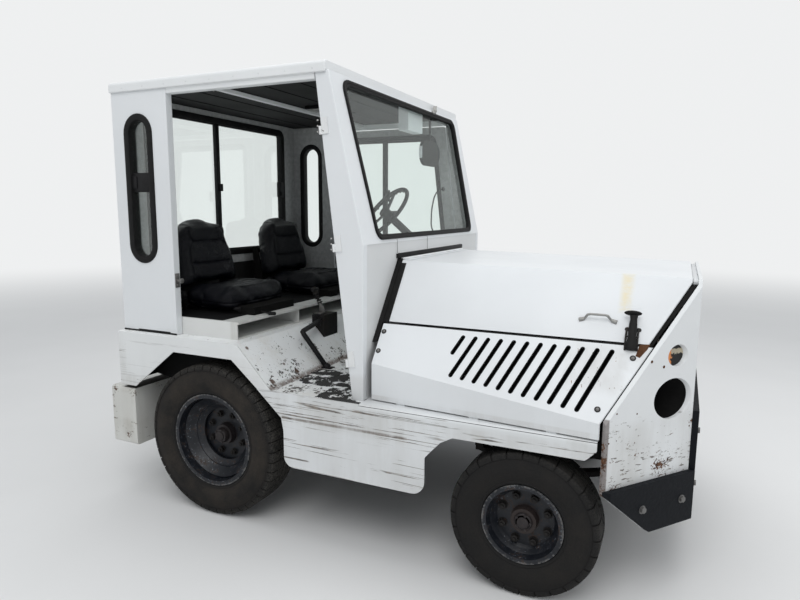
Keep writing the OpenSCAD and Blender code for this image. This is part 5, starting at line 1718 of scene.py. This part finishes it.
@dataclass
class Trim:
    """Latches, handles, hinge screws and knuckles, strikers, wiper stub, rivets and post rubbers.

    latch_stations are sections of a latch's grip, as (distance up the slope,
    half width, thickness, height); handle_line is the line of a grab handle,
    as (x, distance up the slope, height).
    """

    latch_x: float = 1.236
    latch_stations: tuple[tuple[float, float, float, float], ...] = (
        (-0.352, 0.018, 0.009, 0.01), (-0.34, 0.021, 0.0117, 0.012), (-0.322, 0.019, 0.0126, 0.014),
        (-0.3, 0.015, 0.0108, 0.017), (-0.275, 0.0165, 0.0108, 0.021), (-0.25, 0.015, 0.0108, 0.024),
        (-0.23, 0.0125, 0.0099, 0.027), (-0.216, 0.015, 0.0108, 0.029))
    handle_line: tuple[Point, ...] = (
        (1.036, -0.234, 0.002), (1.052, -0.228, 0.007), (1.062, -0.222, 0.024), (1.072, -0.221, 0.028),
        (1.1, -0.221, 0.029), (1.13, -0.221, 0.028), (1.14, -0.222, 0.024), (1.15, -0.228, 0.007),
        (1.166, -0.234, 0.002))
    handle_radius: float = 0.0048
    hinge_z: Point = (0.891, 1.398, 1.898)

    def build(self) -> None:
        """Makes the outer fittings."""
        self._latches()
        self._handles()
        self._hinges()
        self._knuckles_and_rivets()
        self._door_gap()
        self._wiper()

    def _knuckles_and_rivets(self) -> None:
        """Knuckles of the hood's hinge, rivets of the roof and the rear."""
        dashes = Shape()
        for k in range(14):
            y = -0.425 + 0.064 * k
            dashes.block((0.177, y - 0.011, 1.2995), (0.184, y + 0.011, 1.3022), 0.0008)
            dashes.dome((0.206, y + 0.032, 1.3), (0, 0, 1), 0.0045, 0.002)
        dashes.piece("hood_hinge_knuckles", Slot.IRON, DULL_STEEL, "hood")
        rivets = Shape()
        for k in range(12):
            y = -0.77 + 0.14 * k
            for z in (0.64, 0.88):
                rivets.dome((REAR_WALL_X, y, z), (-1, 0, 0), 0.005, 0.002)
        for k in range(9):
            for side in SIDES:
                rivets.dome((-1.2 + 0.14 * k, side * 0.817, 2.138), (0, side, 0), 0.0045, 0.0015)
        for side in SIDES:
            for k in range(7):
                rivets.dome((REAR_WALL_X, side * 0.78, 1.0 + 0.17 * k), (-1, 0, 0), 0.0045, 0.0016)
        rivets.piece("panel_rivets", Slot.WHITE, WhitePaint("rivet paint", (), (0.7, 0.715, 0.72), chips=0.4))

    def _door_gap(self) -> None:
        """Rubber under the rear posts and the strikers on their front edges."""
        post = Shape().block((-1.292, -0.8085, 0.9055), (-0.924, -0.764, 0.9145), 0.003)
        post.block((-1.19, -0.8075, 0.9055), (-0.965, -0.78, 0.92), 0.004)
        post.both_sides().piece("post_foot_rubber", Slot.RUBBER, RUBBER)
        striker = Shape()
        for side in SIDES:
            lip = side * 0.8 - 0.004 * (side > 0)
            striker.block((-0.9235, lip, 1.15), (-0.9195, side * 0.772, 1.222), 0.001)
            for z in (1.163, 1.209):
                striker.dome((-0.9195, side * 0.786, z), (1, 0, 0), 0.006, 0.003)
        for start, end, radius, edge in ((-0.922, -0.89, 0.008, 0.001), (-0.894, -0.886, 0.013, 0.002)):
            striker.rod((start, -0.788, 1.186), (end, -0.788, 1.186), radius, edge=edge)
        striker.piece("door_strikers", Slot.WHITE, DULL_STEEL)

    def _wiper(self) -> None:
        """Shaft of the missing wiper."""
        wiper = Shape()
        wiper.rod((-0.02, 0.366, 2.115), (0.01, 0.366, 2.122), 0.012, 0.01, sides=24, edge=0.002)
        wiper.rod((0.006, 0.366, 2.121), (0.02, 0.366, 2.124), 0.006, sides=16, edge=0.001)
        wiper.block((-0.01, -0.011, -0.002), (0.062, 0.011, 0.01), 0.003,
                    place=plane((0.01, 0.358, 2.118), (-0.2, 0.62, 0.55), (0.75, 0.45, 0.1)))
        wiper.piece("wiper_stub", Slot.WHITE, ALLOY)

    def _latches(self) -> None:
        """Rubber pull-down latches: a T grip, a waisted neck and the bracket on the panel."""
        for side, label in HANDS:
            grip, base = Shape(), Shape()
            at = partial(slope_place, side=side)
            up = (at(0, 0.01, 0) - at(0, 0, 0)).normalized()
            turn = plane((0, 0, 0), (1, 0, 0), up)
            sign = 1 if SLOPE_N[side].dot(turn.col[2].xyz) > 0 else -1
            self._loft(grip, [(Matrix.Translation(at(self.latch_x, v, w)) @ turn, half, thick)
                              for v, half, thick, w in self.latch_stations], sign)
            squash = Matrix.Diagonal((0.033, 0.0085, 0.0165, 1))
            disc = Matrix.Translation(at(1.232, -0.205, 0.031)) @ turn @ squash
            bmesh.ops.create_uvsphere(grip.bm, u_segments=28, v_segments=14, radius=1, matrix=disc)
            grip.rod(at(1.216, -0.345, 0.012), at(1.256, -0.345, 0.012), 0.006, sides=16, edge=0.001)
            grip.piece(f"latch_grip_{label}", Slot.RUBBER, RUBBER, "hood", replaces=["hood_fittings"])
            for x in (1.213, 1.256):
                top, foot = at(x, -0.3, 0.016), x + 0.0015
                base.rod(at(x, -0.352, 0.0005), top, 0.004, sides=10, edge=0.001)
                base.rod(top, at(x, -0.262, 0.001), 0.004, sides=10, edge=0.001)
                base.rod(at(foot, -0.262, 0.0005), at(foot, -0.262, 0.004), 0.009, sides=18, edge=0.001)
            base.rod(at(1.21, -0.3, 0.017), at(1.26, -0.3, 0.017), 0.0038, sides=12)
            base.piece(f"latch_bracket_{label}", Slot.RUBBER, DARK_STEEL, "hood")

    @staticmethod
    def _loft(shape: Shape, stations: Sequence[tuple[Matrix, float, float]], sign: int) -> None:
        """Skins rounded sections one after another and caps the ends."""
        rings = []
        for place, half, thick in stations:
            made = bmesh.ops.create_circle(shape.bm, segments=24, radius=1)["verts"]
            squash = Matrix(((half, 0, 0, 0), (0, 0, 1, 0), (0, thick * sign, 0, 0), (0, 0, 0, 1)))
            bmesh.ops.transform(shape.bm, matrix=place @ squash, verts=made)
            rings.append(made)
        for first, second in zip(rings, rings[1:]):
            edges = {e for v in (*first, *second) for e in v.link_edges
                     if all(o in first for o in e.verts) or all(o in second for o in e.verts)}
            bmesh.ops.bridge_loops(shape.bm, edges=list(edges))
        shape.bm.faces.new(rings[0])
        shape.bm.faces.new(rings[-1])

    def _handles(self) -> None:
        """Cast grab handles on the hood's sides."""
        for side, label in HANDS:
            shape = Shape()
            spots = [slope_place(*point, side) for point in self.handle_line]
            for a, b in zip(spots, spots[1:]):
                shape.rod(a, b, self.handle_radius, sides=14)
                for way in (b - a, a - b):
                    shape.dome(b, way, self.handle_radius, self.handle_radius)
            for x, lean in ((1.034, -0.006), (1.168, 0.006)):
                back, front = x - lean * 2.6, x + lean
                shape.rod(slope_place(back, -0.23, 0.003, side), slope_place(front, -0.236, 0.001, side),
                          0.0075, 0.0095, sides=16, edge=0.002)
                shape.dome(slope_place(x, -0.234, 0.005, side), SLOPE_N[side], 0.0055, 0.0035)
            shape.piece(f"grab_handle_{label}", Slot.WHITE, ALLOY, "hood")

    def _hinges(self) -> None:
        """Screws of the leaves on the bare door pillar; the left door covers and swings past its own."""
        shape = Shape()
        for z in self.hinge_z:
            x = 0.096 - (z - SILL_Z) * 0.1215
            for dz in (-0.024, 0.0, 0.024):
                shape.dome((x - 0.008, -0.8175, z + dz), (0, -1, 0), 0.0042, 0.0016)
        shape.piece("hinge_screws_right", Slot.WHITE, ZINC)


@dataclass
class Lamps:
    """Rims and lenses of the rear lamps, and the screws round the nose's lamps.

    rings holds (kind, start and end along X, radius at each); screws holds
    (distance along the corner plate, height, radius, height of the head).
    """

    rings: tuple[tuple[str, float, float, float, float], ...] = (
        ("rim", 0.006, -0.006, 0.047, 0.044), ("rim", 0.006, -0.01, 0.041, 0.038),
        ("lens", -0.008, -0.0125, 0.036, 0.034))
    screws: tuple[tuple[float, float, float, float], ...] = (
        (0.218, 0.988, 0.006, 0.002), (0.285, 0.961, 0.006, 0.002), (0.053, 0.809, 0.0035, 0.0012),
        (0.157, 0.794, 0.0035, 0.0012), (0.02, 0.7, 0.0035, 0.0012), (0.455, 0.7, 0.0035, 0.0012))

    def build(self) -> None:
        """Makes the lamps' small parts."""
        rims, reds, cuts = Shape(), Shape(), Shape()
        for side in SIDES:
            for shape, start, end, first, last in self.rings:
                (reds if shape == "lens" else rims).rod(
                    (REAR_WALL_X + start, side * 0.7, 0.78), (REAR_WALL_X + end, side * 0.7, 0.78),
                    first, last, sides=44, edge=0.002)
            for s, z, radius, height in self.screws:
                cuts.dome(corner_place(s, z, 0.0, side), CORNER_N[side], radius, height)
        rims.piece("rear_lamp_rims", Slot.PLASTIC, PLASTIC)
        reds.piece("rear_lamp_lenses", Slot.AMBER, RED)
        cuts.piece("nose_screws", Slot.WHITE, RUSTY)


@dataclass
class HoodEdges:
    """Rubber in the gaps round the hood, its black also standing for their shade, its edge trim, brackets,
    the nose's flange and rims of painted shade round the louvres.

    The louvres are counted from the front: first is the foremost one's place
    along X, pitch their distance, and drops the height of the foremost, how
    much less each next one has, and the height of the last. Every outline
    is drawn on the hood's slope, as (x, distance up the slope).
    """

    louvres: int = 12
    pitch: float = 0.055
    first: float = 1.169
    top_z: float = 1.01
    lean: float = 0.5
    drops: Point = (0.201, 0.0059, 0.061)
    half_width: float = 0.0092
    low: Profile = ((0.176, -0.337), (1.262, -0.343), (1.262, -0.322), (0.176, -0.325))
    front: Profile = ((1.252, -0.34), (1.3, -0.34), (1.452, -0.04), (1.41, -0.04))
    bracket: Profile = ((1.266, -0.322), (1.303, -0.318), (1.294, -0.34), (1.27, -0.378), (1.254, -0.372))
    edge: Profile = ((0.17, -0.325), (0.2, -0.325), (0.2, -0.006), (0.17, -0.006))

    def build(self) -> None:
        """Makes the strips, the brackets, the flange and the painted shade round the louvres."""
        # The gap strips are black sponge seal; their black also stands for the shade in the gaps.
        strips = Shape().outline(self.low, self._above(-0.009), 0.0075, edge=0.0015)
        strips.outline(self.front, self._above(-0.02), 0.01, edge=0.002)
        strips.both_sides().piece("hood_gap_rubber", Slot.RUBBER, SEAL_RUBBER)
        rusty = Shape().outline(self.bracket, self._above(-0.0015), 0.003, edge=0.0006)
        rusty.both_sides().piece("rusty_corner_brackets", Slot.IRON, RUSTY)
        trim = Shape().outline(self.edge, self._above(-0.001), 0.0045, edge=0.0015)
        trim.both_sides().piece("hood_edge_trim", Slot.RUBBER, SEAL_RUBBER, "hood")
        flange = Shape().block((1.436, -0.447, 1.262), (1.466, 0.447, 1.276), 0.003)
        paint = WhitePaint("flange paint", (), (0.7, 0.715, 0.725), chips=0.3)
        flange.piece("nose_top_flange", Slot.WHITE, paint)
        self._louvre_shade_rims()

    @staticmethod
    def _above(height: float) -> Matrix:
        """The slope's plane, moved out by a height."""
        slope = plane(slope_place(0, 0), (1, 0, 0), (0, cos(SLOPE), sin(SLOPE)))
        return slope @ Matrix.Translation((0, 0, height))

    def _louvre_shade_rims(self) -> None:
        """Near-black rims round the louvres' slots: painted shade that makes the shaded slots look wider."""
        shade_rims, (tallest, less, last) = Shape(), self.drops
        v = (self.top_z - HOOD_TOP_Z) / sin(SLOPE)
        for i in range(self.louvres):
            x = self.first - i * self.pitch
            drop = last if i == self.louvres - 1 else tallest - less * i
            start, end = Vector((x, v)), Vector((x - self.lean * drop, v - drop / sin(SLOPE)))
            along = (end - start).normalized()
            out = Vector((-along.y, along.x))
            ring = []
            for centre, base in ((end, 0.0), (start, pi)):
                for k in range(9):
                    a = base + pi * k / 8
                    ring.append(centre + (out * cos(a) + along * sin(a)) * self.half_width)
            shade_rims.outline(ring, self._above(-0.0022), 0.003, rim=0.004)
        shade_rims.both_sides().piece("louvre_shade_rims", Slot.RUBBER, SHELL_BLACK)


@dataclass
class EngineBay:
    """Engine, gearbox, radiator and hoses in place of the plain block.

    pipes holds the name, points and radius of each hose, from the radiator
    or the air filter to the engine.
    """

    pipes: tuple[tuple[str, tuple[Point, ...], float], ...] = (
        ("top_hose", ((1.16, 0.12, 1.12), (1.11, 0.12, 1.11), (1.08, 0.09, 1.06), (1.05, 0.06, 1.0)),
         0.022),
        ("bottom_hose",
         ((1.16, -0.22, 0.66), (1.12, -0.22, 0.65), (1.09, -0.205, 0.68), (1.06, -0.18, 0.72)), 0.022),
        ("intake_hose",
         ((0.86, 0.23, 1.09), (0.92, 0.23, 1.09), (0.95, 0.19, 1.06), (0.94, 0.11, 0.99)), 0.026))
    exhaust: tuple[Point, ...] = ((0.69, -0.238, 0.88), (0.64, -0.25, 0.76), (0.6, -0.255, 0.64),
                                  (0.52, -0.26, 0.6), (0.345, -0.265, 0.6))
    shaft: Pair = (0.0, 0.7)
    fan: Point = (1.128, 0.0, 0.8)

    def build(self) -> None:
        """Makes the engine bay's parts."""
        self._castings()
        self._guards()
        self._covers()
        self._radiator()
        for name, points, radius in self.pipes:
            tube(name, points, radius, RUBBER)
        tube("exhaust_pipe", self.exhaust, 0.021, RUSTY)

    def _castings(self) -> None:
        """Block with its ribs, head, sump, manifold and the gearbox with its bolted flange."""
        y, z = self.shaft
        block = Shape().block((0.64, -0.19, 0.56), (1.08, 0.19, 0.9), 0.012)
        block.block((0.65, -0.15, 0.9), (1.07, 0.12, 0.985), 0.01)
        block.block((0.68, -0.16, 0.485), (1.04, 0.16, 0.565), 0.02)
        for k in range(7):
            block.block((0.655 + 0.06 * k, -0.198, 0.6), (0.665 + 0.06 * k, 0.198, 0.87), 0.003)
        for x in (0.7, 0.8, 0.9, 1.0):
            block.rod((x, -0.15, 0.94), (x, -0.235, 0.9), 0.024, 0.02, edge=0.003)
        block.rod((0.69, -0.238, 0.895), (1.02, -0.238, 0.895), 0.03, sides=24, edge=0.006)
        block.rod((0.345, y, z), (0.64, y, z), 0.105, 0.16, sides=36, edge=0.01)
        block.rod((0.6, y, z), (0.645, y, z), 0.19, sides=40, edge=0.006)
        for k in range(10):
            a = tau * k / 10
            spot = (0.6, y + 0.176 * cos(a), z + 0.176 * sin(a))
            block.hexagon(spot, (-1, 0, 0), 0.016, 0.01, washer=0.012)
        block.piece("engine_castings", Slot.IRON, IRON, replaces=["engine"])

    def _guards(self) -> None:
        """Ribbed splash guards beside the engine."""
        guards = Shape().block((0.17, -0.397, 0.56), (1.3, -0.392, 1.0), 0.001)
        for k in range(5):
            guards.block((0.26 + 0.22 * k, -0.401, 0.6), (0.28 + 0.22 * k, -0.396, 0.96), 0.002)
        guards.both_sides().piece("splash_guards", Slot.CHASSIS, SHELL_BLACK)

    def _covers(self) -> None:
        """Valve cover with its cap, air filter and battery."""
        cover = Shape().block((0.66, -0.11, 0.985), (1.06, 0.085, 1.045), 0.022)
        for x in (0.72, 0.86, 1.0):
            cover.hexagon((x, -0.012, 1.045), (0, 0, 1), 0.018, 0.012, washer=0.015)
        cover.rod((0.8, -0.06, 1.04), (0.8, -0.06, 1.066), 0.026, sides=28, edge=0.005)
        cover.rod((0.56, 0.23, 1.09), (0.86, 0.23, 1.09), 0.085, sides=40, edge=0.012)
        cover.rod((0.556, 0.23, 1.09), (0.6, 0.23, 1.09), 0.088, sides=40, edge=0.004)
        cover.block((0.38, -0.325, 0.82), (0.56, -0.16, 1.01), 0.008)
        for x in (0.41, 0.53):
            cover.rod((x, -0.245, 1.008), (x, -0.245, 1.028), 0.011, 0.009, sides=16, edge=0.002)
        cover.piece("engine_covers", Slot.PLASTIC, PLASTIC)

    def _radiator(self) -> None:
        """Radiator with its fins and tanks, fan and pulleys."""
        cold = Shape().block((1.16, -0.3, 0.62), (1.205, 0.3, 1.13), 0.004)
        for k in range(24):
            cold.block((1.204, -0.29, 0.64 + 0.0195 * k), (1.2085, 0.29, 0.644 + 0.0195 * k))
        for low, high in ((1.125, 1.176), (0.585, 0.625)):
            cold.block((1.15, -0.31, low), (1.209, 0.31, high), 0.01)
        cold.rod((1.18, 0.05, 1.17), (1.18, 0.05, 1.179), 0.028, sides=28, edge=0.003)
        cold.rod((1.08, 0, 0.8), (1.13, 0, 0.8), 0.045, sides=28, edge=0.004)
        for k in range(6):
            place = Matrix.Translation(self.fan) @ Matrix.Rotation(tau * k / 6, 4, "X")
            place = place @ Matrix.Rotation(0.5, 4, "Z")
            cold.block((-0.003, -0.038, 0.03), (0.003, 0.038, 0.2), 0.002, place)
        cold.rod((1.082, 0, 0.62), (1.11, 0, 0.62), 0.075, sides=36, edge=0.004)
        cold.rod((1.085, 0.18, 0.86), (1.108, 0.18, 0.86), 0.045, sides=30, edge=0.004)
        cold.piece("radiator_and_fan", Slot.CHASSIS, CHASSIS)


@dataclass(frozen=True)
class Camera:
    """The camera at the photograph's place, its angles in degrees, its sensor and lens in millimetres."""

    place: Point = (1.385, -3.1, 1.55)
    yaw: float = 24.715
    pitch: float = 8.48
    roll: float = -0.34
    sensor: float = 36
    lens: float = 27.423

    def build(self) -> None:
        """Makes the camera and looks through it."""
        yaw, pitch, roll = (radians(angle) for angle in (self.yaw, self.pitch, self.roll))
        level = cos(pitch)
        forward = Vector((-sin(yaw) * level, cos(yaw) * level, -sin(pitch)))
        flat_right = Vector((cos(yaw), sin(yaw), 0))
        flat_down = forward.cross(flat_right)
        right = flat_right * cos(roll) + flat_down * sin(roll)
        down = flat_down * cos(roll) - flat_right * sin(roll)
        data = bpy.data.cameras.new("camera")
        data.sensor_width, data.lens = self.sensor, self.lens
        camera = placed("camera", data)
        turn = Matrix((right, -down, -forward)).transposed().to_4x4()
        camera.matrix_world = Matrix.Translation(self.place) @ turn
        bpy.context.scene.camera = camera


@dataclass(frozen=True)
class Studio:
    """Pale floor and background, soft light.

    fade holds the distances between which the floor turns into the
    background; lamps holds the name, place, size and power of each lamp,
    which all point at target.
    """

    backdrop: Point = (0.86, 0.87, 0.875)
    fill: Point = (0.93, 0.965, 1.0)
    fill_strength: float = 0.56
    floor: tuple[Point, Point] = ((0.77, 0.77, 0.765), (0.81, 0.81, 0.805))
    floor_radius: float = 45
    fade: Pair = (5.0, 16.0)
    lamps: tuple[tuple[str, Point, float, float], ...] = (
        ("sky_key", (1.5, -5.0, 6.5), 5.0, 190), ("sky_top", (0.0, 0.5, 7.5), 7.0, 150),
        ("sky_front", (6.0, 1.0, 4.0), 4.0, 60))
    target: Point = (0, 0, 0.9)

    def build(self) -> None:
        """Makes the floor, the world and the lamps."""
        self._floor()
        self._world()
        for name, place, size, power in self.lamps:
            light = bpy.data.lights.new(name, "AREA")
            light.shape, light.size, light.energy = "DISK", size, power
            turn = (Vector(self.target) - Vector(place)).to_track_quat("-Z", "Y").to_matrix().to_4x4()
            placed(name, light).matrix_world = Matrix.Translation(place) @ turn

    def _floor(self) -> None:
        """A pale disc that turns into the background far away."""
        g = Graph("pale floor")
        away = g.vector("LENGTH", g.vector("MULTIPLY", g.place, (1, 1, 0)), out="Value")
        ground = g.add("ShaderNodeBsdfDiffuse", None, {"Color": g.mix(g.noise(1.5, 3, 0.5), *self.floor)})
        glow = g.add("ShaderNodeEmission", None, {"Color": self.backdrop, "Strength": 1.0})
        g.shade(g.add("ShaderNodeMixShader", None, {0: g.step(away, *self.fade), 1: ground, 2: glow}))
        shape = bmesh.new()
        bmesh.ops.create_circle(shape, cap_ends=True, segments=64, radius=self.floor_radius)
        mesh = bpy.data.meshes.new("floor")
        shape.to_mesh(mesh)
        shape.free()
        mesh.materials.append(g.material)
        placed("floor", mesh)

    def _world(self) -> None:
        """A background that the camera, reflections and glass see, and another that gives the light."""
        world = bpy.data.worlds.new("studio")
        world.use_nodes = True
        tree = world.node_tree
        tree.nodes.clear()
        out = tree.nodes.new("ShaderNodeOutputWorld")
        rays = tree.nodes.new("ShaderNodeLightPath")
        seen, lit = (tree.nodes.new("ShaderNodeBackground") for _ in range(2))
        seen.inputs["Color"].default_value = (*self.backdrop, 1)
        lit.inputs["Color"].default_value = (*self.fill, 1)
        lit.inputs["Strength"].default_value = self.fill_strength
        most = rays.outputs["Is Camera Ray"]
        for ray in ("Is Glossy Ray", "Is Transmission Ray"):
            node = tree.nodes.new("ShaderNodeMath")
            node.operation = "MAXIMUM"
            tree.links.new(most, node.inputs[0])
            tree.links.new(rays.outputs[ray], node.inputs[1])
            most = node.outputs[0]
        blend = tree.nodes.new("ShaderNodeMixShader")
        for socket, source in zip(blend.inputs, (most, lit.outputs[0], seen.outputs[0])):
            tree.links.new(source, socket)
        tree.links.new(blend.outputs[0], out.inputs["Surface"])
        bpy.context.scene.world = world


def main() -> None:
    """Builds every sub-assembly in order."""
    logging.basicConfig(level=logging.INFO, format="%(name)s: %(message)s")
    bpy.context.scene.view_settings.view_transform = "Standard"
    parts = {"camera": Camera(), "studio": Studio(), "paint": PaintedBody(), "fasteners": Fasteners(),
             "glazing": Glazing(), "seats": Seats(), "cab inside": CabInterior(), "trim": Trim(),
             "lamps": Lamps(), "hood edges": HoodEdges(), "engine bay": EngineBay()}
    for side in ("left", "right"):
        for kind in (FRONT, REAR):
            parts[f"{kind.end} {side} wheel"] = Wheel(kind, side)
    for name, part in parts.items():
        part.build()
        LOG.info("built %s", name)


if __name__ == "__main__":
    main()
